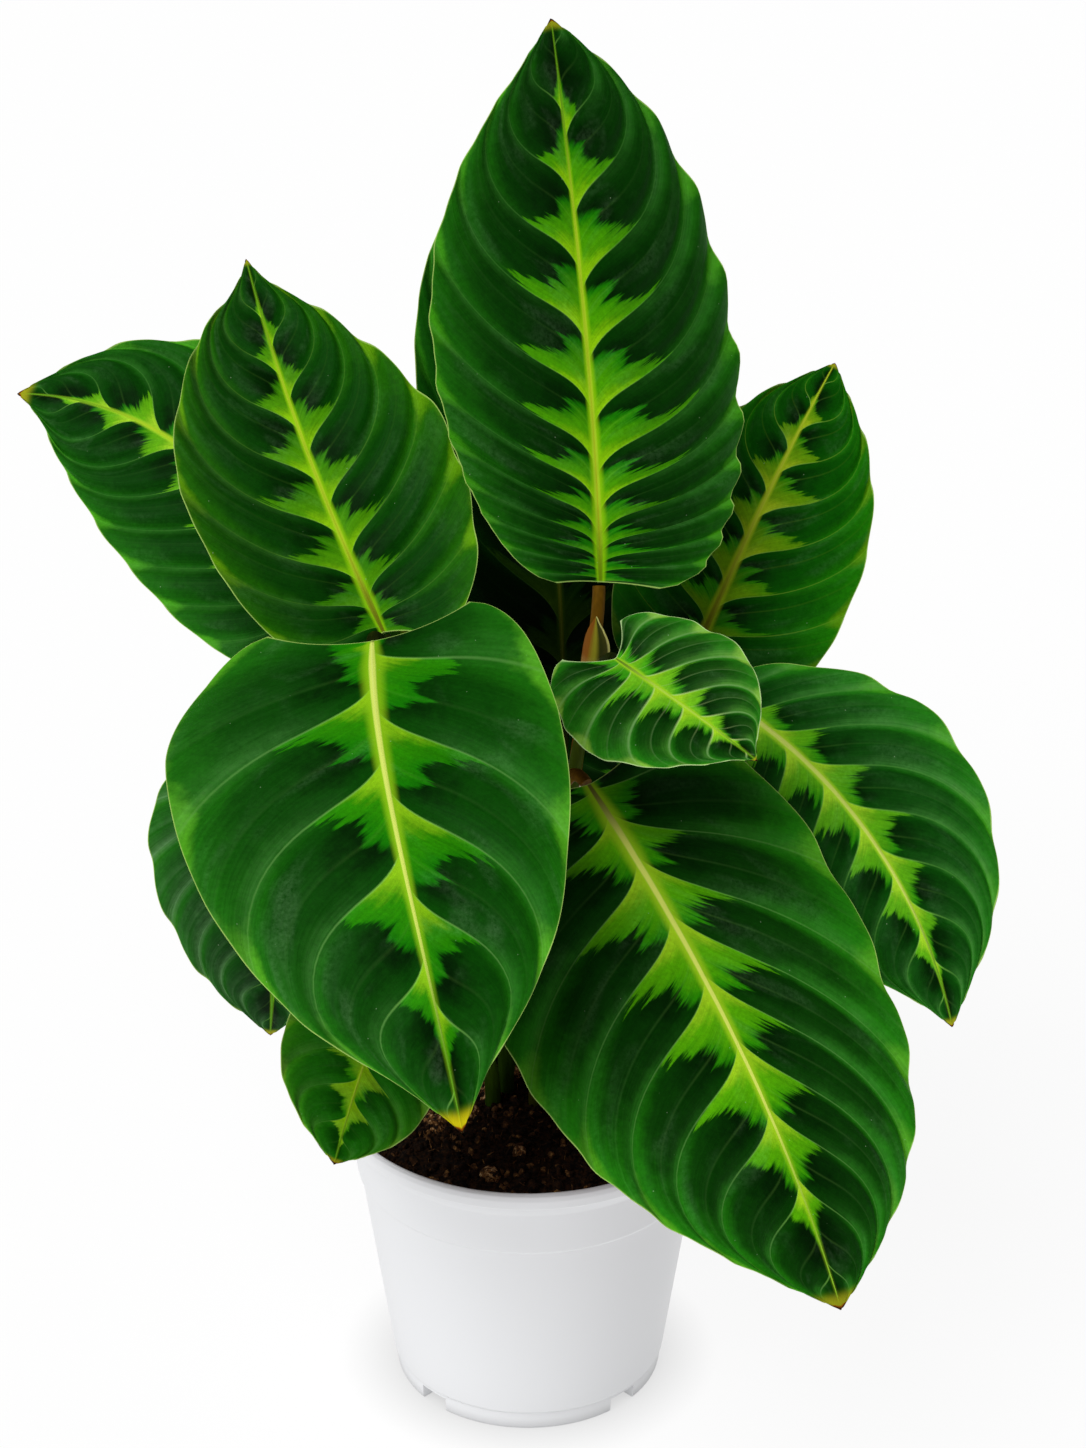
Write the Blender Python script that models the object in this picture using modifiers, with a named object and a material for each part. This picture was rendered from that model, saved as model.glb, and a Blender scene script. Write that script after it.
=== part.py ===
# A potted calathea: broad patterned blades on slim stalks, in a moulded nursery pot of soil.
# Metres, +Z up. The origin is on the pot's axis, in the plane of its foot; -Y is the front.
import math

import bmesh
import bpy
from mathutils import Matrix, Vector

MM = 0.001
GAP = 0.0003

# Pot, with its outside at the foot of each stretch
POT_SEGMENTS = 48
RIM_RADIUS = 0.0700
RIM_HEIGHT = 0.1151
LIP_RADIUS = 0.0664
BAND_RADIUS = 0.0684
BAND_HEIGHT = 0.1074
COLLAR_RADIUS = 0.0646
COLLAR_HEIGHT = 0.1032
STEP_RADIUS = 0.0613
STEP_HEIGHT = 0.0855
STEP_DEPTH = 0.0006
FOOT_LINE_RADIUS = 0.0503
FOOT_LINE_HEIGHT = 0.0082
FOOT_RADIUS = 0.0489
POT_WALL = 0.0015
POT_FLOOR = 0.0016

# Drain channels, moulded up into the floor from below
CHANNELS = 4
CHANNEL_WIDTH = 0.0120
CHANNEL_HEIGHT = 0.0058
CHANNEL_START = 0.0240
DRAIN_RADIUS = 0.0035
DRAIN_PLACE = 0.0360

# Soil
SOIL_EDGE = 0.1062
SOIL_CROWN = 0.1102

# Blades
BLADE_THICKNESS = 0.0008
KEEL_THICKNESS = 0.0026
COLUMNS = (0.07, 0.38, 0.70, 1.0)
SMALL_COLUMNS = (0.10, 0.55, 1.0)
MIDRIB_STEPS = 40
VEIN_SWEEP = 2.3
VEIN_START = 0.35
VEIN_BEND = 2.2
DECURRENCE = 0.03
FURROW = 0.0010

# Stalks
STALK_POINTS = 9
STALK_TOP_RADIUS = 0.0022
STALK_FOOT_RADIUS = 0.0030
STALK_DEPTH = 0.0160
CROWN_CENTRE = Vector((0.002, 0.018, 0.0))

# Sheath of the young leaf, clasping the top leaf's stalk: shares of the stalk's path, and the
# turn of its middle from the front round to the right
SHEATH_FOOT = 0.66
SHEATH_TIP = 0.975
SHEATH_TURN = 40.0
SHEATH_CLASP = 115.0
SHEATH_CLEARANCE = 0.0005
SHEATH_FLARE = 0.0030
SHEATH_THICKNESS = 0.0008
SHEATH_ROWS = 10
SHEATH_COLUMNS = 8

# What a leaf has where its own entry doesn't say otherwise
LEAF = dict(roll=0, widest=0.42, lobe=0.03, shoulder=0.35, base_fullness=2.4, tip_fullness=2.3,
            point=0.25, droop=10, side=0, twist=0, fold=4, cup=-0.05, veins=7, fine=True,
            rise=0.5, lead=25, seat=1.2)

# Each leaf: its blade's base in millimetres, where the midrib aims from there (azimuth from the
# front round to the right, pitch above level, then roll), and the lengths of the midrib and of
# the widest left and right veins. Widest, lobe, shoulder, fullness and point shape the outline as
# shares of the length. Droop, side, twist and fold are degrees, cup is the edges' rise. Crown
# is where the stalk leaves the soil: millimetres from the crown's centre, and its bearing.
LEAVES = {
    "top": dict(base=(25, 15, 310), azimuth=182, pitch=56, roll=-24, length=194, left=60, right=65,
                widest=0.41, lobe=0.01, shoulder=0.32, base_fullness=1.9, tip_fullness=2.7,
                point=0, droop=-13, side=15, twist=9, fold=18, cup=-0.29, veins=7.5,
                crown=(7, 110)),
    "upper_left": dict(base=(-49, 0, 298), azimuth=214, pitch=41, roll=12, length=153,
                       left=51, right=46, widest=0.39, lobe=0.06, shoulder=0.34,
                       tip_fullness=1.6, point=0.5, droop=8, side=-12, twist=-4, fold=9,
                       cup=0.22, crown=(8, 265)),
    "far_left": dict(base=(-78, 30, 285), azimuth=200, pitch=43, roll=24, length=161,
                     left=45, right=46, widest=0.36, lobe=0.05, shoulder=0.36,
                     base_fullness=2.0, point=0.28, droop=15, side=65, twist=2, cup=-0.09,
                     crown=(18, 262)),
    "front_left": dict(base=(-51, -40, 314), azimuth=1, pitch=-5, roll=-10, length=191,
                       left=59, right=69, widest=0.23, lobe=0.11, shoulder=0.54,
                       base_fullness=1.5, tip_fullness=2.9, point=0.14, droop=62, side=18,
                       twist=-22, fold=-5, cup=-0.04, veins=5, crown=(15, 318), seat=1.5),
    "young": dict(base=(30, -10, 293), azimuth=38, pitch=-5, roll=-19, length=76,
                  left=31, right=36, widest=0.34, lobe=0.12, shoulder=0.38, base_fullness=1.6,
                  tip_fullness=1.8, point=0.34, droop=0, side=-3, twist=4, fold=15,
                  cup=-0.18, veins=6, crown=(7, 50), lead=12, seat=1.5),
    "front_right": dict(base=(21, -20, 250), azimuth=34, pitch=-28, roll=-6, length=201,
                        left=71, right=78, widest=0.4, lobe=0.07, shoulder=0.47,
                        base_fullness=2.2, tip_fullness=3.0, point=0.05, droop=20, side=-5,
                        twist=-20, fold=-1, veins=8, crown=(20, 3)),
    "right": dict(base=(69, 37, 255), azimuth=56, pitch=-17, roll=-18, length=147,
                  left=51, right=49, widest=0.35, shoulder=0.1, base_fullness=1.5,
                  tip_fullness=2.0, point=0.23, droop=43, side=-31, twist=14, fold=-9,
                  cup=0.09, crown=(17, 48), lead=30, seat=2.4, rise=0.6),
    "upper_right": dict(base=(56.5, 52, 256.6), azimuth=149, pitch=41, roll=-22, length=144,
                        left=39.5, right=43.5, widest=0.34, shoulder=0.36, base_fullness=2.6,
                        point=0.18, droop=19, side=-2, twist=-4, fold=1, cup=-0.22,
                        crown=(18, 85), lead=8),
    "low_left": dict(base=(-84, -12, 254), azimuth=348, pitch=-74, roll=7, length=114,
                     left=47, right=46, widest=0.27, shoulder=0.34, base_fullness=2.3,
                     tip_fullness=1.9, droop=39, side=-3, twist=-7, fold=5, cup=-0.2,
                     veins=6, fine=False, crown=(18, 290), seat=1.5),
    "small_low": dict(base=(-47, -45, 182), azimuth=344, pitch=-16, roll=29, length=80,
                      left=26, right=30, tip_fullness=2.4, point=0.07, droop=-7, side=5,
                      fold=0, cup=0.08, veins=6, fine=False, crown=(25, 324), lead=18),
    "behind_top": dict(base=(13, 72, 236), azimuth=183, pitch=59, roll=-13, length=214,
                       left=51, right=46, widest=0.51, shoulder=0.33, tip_fullness=2.6,
                       point=0.1, droop=0, side=7, twist=4, fold=6, cup=0.06, fine=False,
                       crown=(10, 160)),
    "rear_left": dict(base=(-20, 62, 214), azimuth=208, pitch=34, length=150, left=42, right=42,
                      droop=35, veins=6, fine=False, crown=(16, 212)),
    "rear_right": dict(base=(34, 62, 206), azimuth=152, pitch=30, length=145, left=40, right=40,
                       droop=35, veins=6, fine=False, crown=(18, 150)),
    "inner_right": dict(base=(50, 36, 196), azimuth=122, pitch=24, length=100, left=32, right=32,
                        droop=35, veins=6, fine=False, crown=(21, 124)),
    "inner_left": dict(base=(-42, 34, 200), azimuth=238, pitch=24, length=96, left=30, right=30,
                       droop=35, veins=6, fine=False, crown=(17, 236)),
}

OBJECT = bpy.data.collections.new("potted_calathea")
CUTTERS = bpy.data.collections.new("cutters")


def clear_scene():
    for old in list(bpy.data.objects):
        bpy.data.objects.remove(old, do_unlink=True)
    for collection in (OBJECT, CUTTERS):
        bpy.context.scene.collection.children.link(collection)


def make_material(name, colour, roughness):
    material = bpy.data.materials.new(name)
    material.use_nodes = True
    shader = material.node_tree.nodes["Principled BSDF"]
    shader.inputs["Base Color"].default_value = (*colour, 1.0)
    shader.inputs["Roughness"].default_value = roughness
    shader.inputs["Metallic"].default_value = 0.0
    return material


def add_object(name, data, material=None, collection=OBJECT):
    made = bpy.data.objects.new(name, data)
    if material:
        data.materials.append(material)
    collection.objects.link(made)
    return made


def turned_solid(name, profile, material):
    """A (radius, height) profile from the axis out, down the outside and back to the axis."""
    mesh = bpy.data.meshes.new(name)
    points = [(radius, 0.0, height) for radius, height in profile]
    mesh.from_pydata(points, [(i, i + 1) for i in range(len(points) - 1)], [])
    made = add_object(name, mesh, material)
    screw = made.modifiers.new("Turn", 'SCREW')
    screw.steps = screw.render_steps = POT_SEGMENTS
    screw.use_merge_vertices = True
    screw.merge_threshold = 0.00001
    screw.use_smooth_shade = True
    return made


def add_boolean(target, operation, collection):
    cut = target.modifiers.new(operation.title(), 'BOOLEAN')
    cut.operation = operation
    cut.operand_type = 'COLLECTION'
    cut.collection = collection
    cut.solver = 'EXACT'


def cutter_collection(name):
    made = bpy.data.collections.new(name)
    CUTTERS.children.link(made)
    return made


def hide_cutters():
    for cutter in CUTTERS.all_objects:
        cutter.hide_render = True
        cutter.display_type = 'WIRE'


# Pot and soil


def channel_bars(name, start, end, width, height, bottom):
    """One bar for each drain channel, reaching outwards from the pot's axis."""
    collection = cutter_collection(name)
    for i in range(CHANNELS):
        mesh = bpy.data.meshes.new(name)
        shape = bmesh.new()
        bmesh.ops.create_cube(shape, size=1.0)
        bmesh.ops.scale(shape, vec=(end - start, width, height - bottom), verts=shape.verts)
        middle = ((start + end) / 2, 0.0, (height + bottom) / 2)
        bmesh.ops.translate(shape, vec=middle, verts=shape.verts)
        shape.to_mesh(mesh)
        shape.free()
        bar = add_object(f"{name}_{i + 1}", mesh, collection=collection)
        bar.rotation_euler.z = math.tau * (i + 0.5) / CHANNELS
    return collection


def drain_holes():
    collection = cutter_collection("drain_holes")
    for i in range(CHANNELS):
        mesh = bpy.data.meshes.new("drain_hole")
        shape = bmesh.new()
        bmesh.ops.create_cone(shape, cap_ends=True, segments=12, radius1=DRAIN_RADIUS,
                              radius2=DRAIN_RADIUS, depth=2 * POT_WALL + 2 * GAP)
        shape.to_mesh(mesh)
        shape.free()
        hole = add_object(f"drain_hole_{i + 1}", mesh, collection=collection)
        angle = math.tau * (i + 0.5) / CHANNELS
        hole.location = (DRAIN_PLACE * math.cos(angle), DRAIN_PLACE * math.sin(angle),
                         CHANNEL_HEIGHT + POT_WALL / 2)
    return collection


def inner_radius(height):
    """The pot's inside, a wall's thickness in from its tapered outside."""
    slope = (STEP_RADIUS - FOOT_LINE_RADIUS) / (STEP_HEIGHT - FOOT_LINE_HEIGHT)
    return FOOT_LINE_RADIUS + slope * (height - FOOT_LINE_HEIGHT) - POT_WALL


def make_pot(material):
    floor_edge = inner_radius(POT_FLOOR)
    inside = [(0.0, POT_FLOOR), (floor_edge - 1.5 * MM, POT_FLOOR),
              (floor_edge, POT_FLOOR + 1.5 * MM), (inner_radius(STEP_HEIGHT), STEP_HEIGHT),
              (COLLAR_RADIUS - POT_WALL, COLLAR_HEIGHT), (LIP_RADIUS - 0.5 * MM, BAND_HEIGHT + 2 * MM)]
    rim = [(LIP_RADIUS, RIM_HEIGHT - 1.0 * MM), (LIP_RADIUS + 0.8 * MM, RIM_HEIGHT),
           (LIP_RADIUS + 1.6 * MM, RIM_HEIGHT - 0.6 * MM),
           (RIM_RADIUS - 0.9 * MM, RIM_HEIGHT - 0.6 * MM), (RIM_RADIUS, RIM_HEIGHT - 1.8 * MM)]
    outside = [(BAND_RADIUS, BAND_HEIGHT), (COLLAR_RADIUS, COLLAR_HEIGHT),
               (STEP_RADIUS + STEP_DEPTH, STEP_HEIGHT), (STEP_RADIUS, STEP_HEIGHT - STEP_DEPTH),
               (FOOT_LINE_RADIUS, FOOT_LINE_HEIGHT),
               (FOOT_LINE_RADIUS - STEP_DEPTH, FOOT_LINE_HEIGHT - STEP_DEPTH),
               (FOOT_RADIUS, 0.5 * MM), (FOOT_RADIUS - 0.5 * MM, 0.0), (0.0, 0.0)]
    pot = turned_solid("pot", inside + rim + outside, material)
    covers = channel_bars("channel_covers", CHANNEL_START - POT_WALL, FOOT_RADIUS - 0.5 * POT_WALL,
                          CHANNEL_WIDTH + 2 * POT_WALL, CHANNEL_HEIGHT + POT_WALL, POT_FLOOR / 2)
    channels = channel_bars("channels", CHANNEL_START, 1.2 * FOOT_RADIUS,
                            CHANNEL_WIDTH, CHANNEL_HEIGHT, -POT_WALL)
    add_boolean(pot, 'UNION', covers)
    add_boolean(pot, 'DIFFERENCE', channels)
    add_boolean(pot, 'DIFFERENCE', drain_holes())
    return pot


def soil_height(x, y):
    share = math.hypot(x, y) / COLLAR_RADIUS
    return SOIL_CROWN - (SOIL_CROWN - SOIL_EDGE) * share ** 2


def make_soil(material):
    wall = [(inner_radius(STEP_HEIGHT), STEP_HEIGHT), (COLLAR_RADIUS - POT_WALL, COLLAR_HEIGHT)]
    edge = COLLAR_RADIUS - POT_WALL + 0.5 * (SOIL_EDGE - COLLAR_HEIGHT)
    floor_edge = inner_radius(POT_FLOOR)
    top = [(edge * share, soil_height(edge * share, 0.0)) for share in (0.0, 0.4, 0.75)]
    profile = top + [(edge - 2 * GAP, SOIL_EDGE)]
    profile += [(radius - 2 * GAP, height) for radius, height in reversed(wall)]
    profile += [(floor_edge - 2 * GAP, POT_FLOOR + 1.6 * MM),
                (floor_edge - 1.8 * MM, POT_FLOOR + GAP), (0.0, POT_FLOOR + GAP)]
    soil = turned_solid("soil", profile, material)
    seats = channel_bars("channel_seats", CHANNEL_START - POT_WALL - GAP, 1.1 * FOOT_RADIUS,
                         CHANNEL_WIDTH + 2 * POT_WALL + 2 * GAP,
                         CHANNEL_HEIGHT + POT_WALL + GAP, 0.0)
    add_boolean(soil, 'DIFFERENCE', seats)
    return soil


# Leaf shape


def turn(vector, axis, degrees):
    return Matrix.Rotation(math.radians(degrees), 3, axis) @ vector


def midrib_frames(leaf):
    """Points along the midrib, each with its directions along, across and up from the blade."""
    azimuth, pitch = math.radians(leaf["azimuth"]), math.radians(leaf["pitch"])
    level = Vector((math.sin(azimuth), -math.cos(azimuth), 0.0))
    along = math.cos(pitch) * level + math.sin(pitch) * Vector((0.0, 0.0, 1.0))
    across = level.cross(Vector((0.0, 0.0, 1.0)))
    across = turn(across, along, -leaf["roll"])
    up = across.cross(along)
    place = Vector(leaf["base"]) * MM
    frames = [(place, along, across, up)]
    for i in range(MIDRIB_STEPS):
        start, end = i / MIDRIB_STEPS, (i + 1) / MIDRIB_STEPS
        along = turn(along, across, -leaf["droop"] * (end ** 1.3 - start ** 1.3))
        up = across.cross(along)
        along = turn(along, up, leaf["side"] / MIDRIB_STEPS)
        across = along.cross(up)
        across = turn(across, along, leaf["twist"] / MIDRIB_STEPS)
        up = across.cross(along)
        place = place + along * leaf["length"] * MM / MIDRIB_STEPS
        frames.append((place, along, across, up))
    return frames


def half_width(height, leaf):
    """The outline's share of the widest half width, at a share of the length from the base."""
    widest, shoulder = leaf["widest"], leaf["shoulder"]
    if height < widest:
        share = (widest - height) / (widest + leaf["lobe"])
        swell = math.sqrt(max(0.0, 1.0 - min(1.0, share) ** leaf["base_fullness"]))
        return shoulder + (1.0 - shoulder) * swell
    share = (height - widest) / (1.0 - widest)
    end = min(1.0, max(0.0, (share - 0.7) / 0.3))
    end = end * end * (3.0 - 2.0 * end)
    return (1.0 - share ** leaf["tip_fullness"]) * (1.0 - leaf["point"] * end)


def blade_point(leaf, frames, station, reach):
    """The top face where the vein that starts at the station has run a share of its reach."""
    out = abs(reach)
    end = -leaf["lobe"] + (1.0 + leaf["lobe"]) * (1.0 - (1.0 - station) ** VEIN_SWEEP)
    width = leaf["right"] if reach > 0.0 else leaf["left"]
    sideways = width * MM * half_width(end, leaf) * out
    height = station + (end - station) * (VEIN_START * out + (1 - VEIN_START) * out ** VEIN_BEND)
    height -= (DECURRENCE * min(1.0, station / 0.12) * min(1.0, (1.0 - station) / 0.3)
               * math.exp(-out / 0.07))
    place, along, across, up = frames[0]
    if height > 0.0:
        index = min(int(height * MIDRIB_STEPS), MIDRIB_STEPS - 1)
        share = height * MIDRIB_STEPS - index
        place, along, across, up = [a.lerp(b, share)
                                    for a, b in zip(frames[index], frames[index + 1])]
    else:
        place = place + along * height * leaf["length"] * MM
    fold = math.radians(leaf["fold"]) * (1.0 - 0.6 * min(1.0, max(0.0, height)))
    rise = sideways * math.sin(fold) + leaf["cup"] * sideways ** 2 / (width * MM)
    stagger = 0.5 if reach < 0.0 else 0.0
    wave = -math.cos(math.tau * (station * leaf["veins"] - stagger))
    rise += FURROW * wave * min(1.0, out / 0.35) * min(1.0, 4.0 * (1.0 - station))
    return place + across * math.copysign(sideways * math.cos(fold), reach) + up * rise


def make_blade(name, leaf, frames, material):
    rows = round(leaf["veins"] * (2 if leaf["veins"] > 5.5 else 3))
    columns = COLUMNS if leaf["fine"] else SMALL_COLUMNS
    reaches = [-c for c in reversed(columns)] + [0.0] + list(columns)
    shape = bmesh.new()
    bmesh.ops.create_grid(shape, x_segments=len(reaches) - 1, y_segments=rows, size=0.5)
    keel = {}
    for vertex in shape.verts:
        reach = reaches[round((vertex.co.x + 0.5) * (len(reaches) - 1))]
        station = round((vertex.co.y + 0.5) * rows) / rows
        vertex.co = blade_point(leaf, frames, station, reach)
        if reach == 0.0:
            keel[vertex.index] = 1.0 - 0.8 * station
    bmesh.ops.triangulate(shape, faces=shape.faces)
    weights = shape.verts.layers.deform.verify()
    shape.verts.ensure_lookup_table()
    for index, weight in keel.items():
        shape.verts[index][weights][0] = weight
    bmesh.ops.remove_doubles(shape, verts=shape.verts, dist=0.00002)
    mesh = bpy.data.meshes.new(name)
    shape.to_mesh(mesh)
    shape.free()
    mesh.shade_smooth()
    blade = add_object(name, mesh, material)
    blade.vertex_groups.new(name="keel")
    solidify = blade.modifiers.new("Thickness", 'SOLIDIFY')
    solidify.thickness = KEEL_THICKNESS
    solidify.offset = -1.0
    solidify.vertex_group = "keel"
    solidify.thickness_vertex_group = BLADE_THICKNESS / KEEL_THICKNESS
    return blade


# Stalks


def stalk_path(leaf, frames):
    """From below the soil, straight up, then over to the back edge of the blade."""
    distance, bearing = leaf["crown"]
    bearing = math.radians(bearing)
    foot = CROWN_CENTRE + distance * MM * Vector((math.sin(bearing), -math.cos(bearing), 0.0))
    ground = soil_height(foot.x, foot.y)
    place, along, _, up = frames[0]
    top = place - along * leaf["seat"] * MM - up * 0.5 * STALK_TOP_RADIUS
    start = Vector((foot.x, foot.y, ground + 4 * MM))
    pull_up = start + Vector((0.0, 0.0, leaf["rise"] * (top.z - start.z)))
    pull_back = top - along * leaf["lead"] * MM
    points = [Vector((foot.x, foot.y, ground - STALK_DEPTH))]
    for i in range(STALK_POINTS):
        t = i / (STALK_POINTS - 1)
        points.append((1 - t) ** 3 * start + 3 * t * (1 - t) ** 2 * pull_up
                      + 3 * t * t * (1 - t) * pull_back + t ** 3 * top)
    return points


def stalk_radius(share):
    return STALK_FOOT_RADIUS + share * (STALK_TOP_RADIUS - STALK_FOOT_RADIUS)


def tube_curve(name, points, radii):
    curve = bpy.data.curves.new(name, 'CURVE')
    curve.dimensions = '3D'
    curve.bevel_depth = 1.0
    curve.bevel_resolution = 2
    curve.use_fill_caps = True
    spline = curve.splines.new('POLY')
    spline.points.add(len(points) - 1)
    for point, place, radius in zip(spline.points, points, radii):
        point.co = (*place, 1.0)
        point.radius = radius
    return curve


def add_planted_tube(name, points, radii, material, holes):
    """A tube that stands in the soil, and the cutter for its hole, a little wider and deeper."""
    add_object(name, tube_curve(name, points, radii), material)
    below = points[0] - Vector((0.0, 0.0, GAP))
    curve = tube_curve(name, [below] + points[1:3], [radius + GAP for radius in radii[:3]])
    curve = add_object(f"hole_{name}", curve, collection=holes)
    bpy.context.view_layer.update()
    evaluated = curve.evaluated_get(bpy.context.evaluated_depsgraph_get())
    mesh = bpy.data.meshes.new_from_object(evaluated)
    bpy.data.objects.remove(curve)
    shape = bmesh.new()
    shape.from_mesh(mesh)
    bmesh.ops.remove_doubles(shape, verts=shape.verts, dist=0.00001)
    bmesh.ops.recalc_face_normals(shape, faces=shape.faces)
    shape.to_mesh(mesh)
    shape.free()
    add_object(f"hole_{name}", mesh, collection=holes)


def make_stalk(name, points, material, holes):
    radii = [stalk_radius(i / (len(points) - 1)) for i in range(len(points))]
    add_planted_tube(f"stalk_{name}", points, radii, material, holes)


def make_sheath(path, material):
    """A thin clasping shell that narrows to a point, with a flared edge on the right."""
    shape = bmesh.new()
    bmesh.ops.create_grid(shape, x_segments=SHEATH_COLUMNS, y_segments=SHEATH_ROWS, size=0.5)
    last = len(path) - 1
    for vertex in shape.verts:
        around, rise = 2.0 * vertex.co.x, vertex.co.y + 0.5
        where = (SHEATH_FOOT + (SHEATH_TIP - SHEATH_FOOT) * rise) * last
        index = min(int(where), last - 1)
        place = path[index].lerp(path[index + 1], where - index)
        along = (path[index + 1] - path[index]).normalized()
        front = Vector((0.0, -1.0, 0.0))
        front = (front - along * along.dot(front)).normalized()
        clasp = SHEATH_CLASP * (1.0 - rise ** 2.5)
        outward = turn(front, along, SHEATH_TURN + around * clasp)
        flare = SHEATH_FLARE * max(0.0, around) ** 2 * math.sin(math.pi * rise ** 1.5)
        radius = stalk_radius(where / last) + SHEATH_CLEARANCE + SHEATH_THICKNESS + flare
        vertex.co = place + outward * radius
    bmesh.ops.triangulate(shape, faces=shape.faces)
    bmesh.ops.remove_doubles(shape, verts=shape.verts, dist=0.00002)
    mesh = bpy.data.meshes.new("sheath_young")
    shape.to_mesh(mesh)
    shape.free()
    mesh.shade_smooth()
    sheath = add_object("sheath_young", mesh, material)
    solidify = sheath.modifiers.new("Thickness", 'SOLIDIFY')
    solidify.thickness = SHEATH_THICKNESS
    solidify.offset = -1.0
    return sheath


def build():
    clear_scene()
    white = make_material("pot_plastic", (0.80, 0.80, 0.80), 0.45)
    peat = make_material("potting_soil", (0.012, 0.008, 0.005), 0.95)
    green = make_material("leaf_blade", (0.02, 0.12, 0.02), 0.5)
    brown = make_material("leaf_stalk", (0.14, 0.06, 0.03), 0.6)
    make_pot(white)
    soil = make_soil(peat)
    holes = cutter_collection("stalk_holes")
    for name, own in LEAVES.items():
        leaf = LEAF | own
        frames = midrib_frames(leaf)
        make_blade(f"blade_{name}", leaf, frames, green)
        points = stalk_path(leaf, frames)
        make_stalk(name, points, brown, holes)
        if name == "top":
            make_sheath(points, brown)
    add_boolean(soil, 'DIFFERENCE', holes)
    hide_cutters()


build()
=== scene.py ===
# A potted calathea: broad velvety blades with feathered light flames, on slim stalks in a white
# moulded nursery pot of dark potting soil. Metres, +Z up, the front towards -Y.
import math

import bmesh
import bpy
from mathutils import Matrix, Vector, noise


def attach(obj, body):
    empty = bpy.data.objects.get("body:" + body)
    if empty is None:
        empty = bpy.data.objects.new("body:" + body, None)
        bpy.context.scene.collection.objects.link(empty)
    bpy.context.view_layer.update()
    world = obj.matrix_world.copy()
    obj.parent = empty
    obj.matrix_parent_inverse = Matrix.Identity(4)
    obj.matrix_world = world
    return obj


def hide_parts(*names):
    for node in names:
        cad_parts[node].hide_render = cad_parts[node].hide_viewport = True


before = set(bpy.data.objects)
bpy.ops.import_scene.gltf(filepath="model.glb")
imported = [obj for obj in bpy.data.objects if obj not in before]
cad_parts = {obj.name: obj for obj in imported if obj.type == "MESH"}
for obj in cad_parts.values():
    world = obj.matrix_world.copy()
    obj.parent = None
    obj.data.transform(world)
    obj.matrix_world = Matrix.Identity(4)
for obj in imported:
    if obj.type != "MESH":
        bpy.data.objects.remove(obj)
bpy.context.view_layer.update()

mm = 0.001
print("frame loaded:", len(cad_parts), "solids")


def colour(code):
    # an sRGB hex code as linear colour
    parts = [int(code[i:i + 2], 16) / 255 for i in (1, 3, 5)]
    return (*[c / 12.92 if c < 0.04045 else ((c + 0.055) / 1.055) ** 2.4 for c in parts], 1.0)


def outputOf(node):
    # the node's first output that its settings leave on
    return next(socket for socket in node.outputs if socket.enabled)


def addNode(tree, kind, feeds=None, stops=None, points=None, **settings):
    # one node with its settings; each feed is a value, or another node or socket to link from
    node = tree.nodes.new(kind)
    for name, value in settings.items():
        setattr(node, name, value)
    for key, value in (feeds or {}).items():
        socket = node.inputs[key] if isinstance(key, int) else next(
            s for s in node.inputs if s.enabled and s.name == key)
        if isinstance(value, bpy.types.Node):
            value = outputOf(value)
        if isinstance(value, bpy.types.NodeSocket):
            tree.links.new(value, socket)
        else:
            socket.default_value = value
    if stops:
        ramp = node.color_ramp
        ramp.interpolation = 'EASE'
        while len(ramp.elements) < len(stops):
            ramp.elements.new(1.0)
        for element, (place, code) in zip(ramp.elements, stops):
            element.position = place
            element.color = colour(code)
    if points:
        curve = node.mapping.curves[0]
        while len(curve.points) < len(points):
            curve.points.new(1.0, 1.0)
        for point, place in zip(curve.points, points):
            point.location = place
            point.handle_type = 'VECTOR'
        node.mapping.update()
    return node


def startMaterial(name, values):
    material = bpy.data.materials.new(name)
    material.use_nodes = True
    shader = material.node_tree.nodes["Principled BSDF"]
    for socket, value in values.items():
        shader.inputs[socket].default_value = value
    return material, material.node_tree, shader


def endMaterial(tree, shader, paint, bump):
    tree.links.new(outputOf(paint), shader.inputs["Base Color"])
    tree.links.new(outputOf(bump), shader.inputs["Normal"])


def addPiece(name, mesh, materials, replaced=()):
    piece = bpy.data.objects.new(name, mesh)
    bpy.context.scene.collection.objects.link(piece)
    if mesh.materials:
        mesh.materials.clear()
    for material in materials:
        mesh.materials.append(material)
    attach(piece, "root")
    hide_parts(*replaced)
    return piece


def bakedMesh(source):
    # the object with its modifiers, as a plain mesh
    bpy.context.view_layer.update()
    evaluated = source.evaluated_get(bpy.context.evaluated_depsgraph_get())
    return bpy.data.meshes.new_from_object(evaluated)


# Pot: injection-moulded polypropylene, satin white. Millimetres. The corners of the lip, the rim
# and the band below it are steps in radius and height from the sizes above them. Crease is how far
# the painted shade in the pot's nooks reaches, and the grey after it how dark that shade gets.
pot = {
    "segments": 144, "rimRadius": 70.0, "rimHeight": 115.1, "lipRadius": 66.4,
    "bandRadius": 68.4, "bandHeight": 108.0, "collarRadius": 64.6, "collarHeight": 103.2,
    "stepRadius": 61.3, "stepHeight": 86.2, "stepDepth": 1.1,
    "footLineRadius": 50.3, "footLineHeight": 8.2, "footRadius": 48.9,
    "wall": 1.5, "floor": 1.6, "corner": 0.35, "floorCorner": 1.5, "footCorner": 0.5,
    "lipCorners": [(1.1, -0.5), (1.6, 0.0)],
    "rimCorners": [(-1.4, 0.0), (-0.4, -0.8), (0.0, -2.6)],
    "bandCorners": [(1.2, 1.2), (0.4, 0.5), (-1.9, -0.4)],
    "channels": 4, "channelWidth": 12.0, "channelHeight": 5.8, "channelStart": 24.0,
    "white": "#f1f2f4", "roughness": 0.36, "crease": 5.0, "creaseShadeGrey": 0.68,
}


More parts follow.
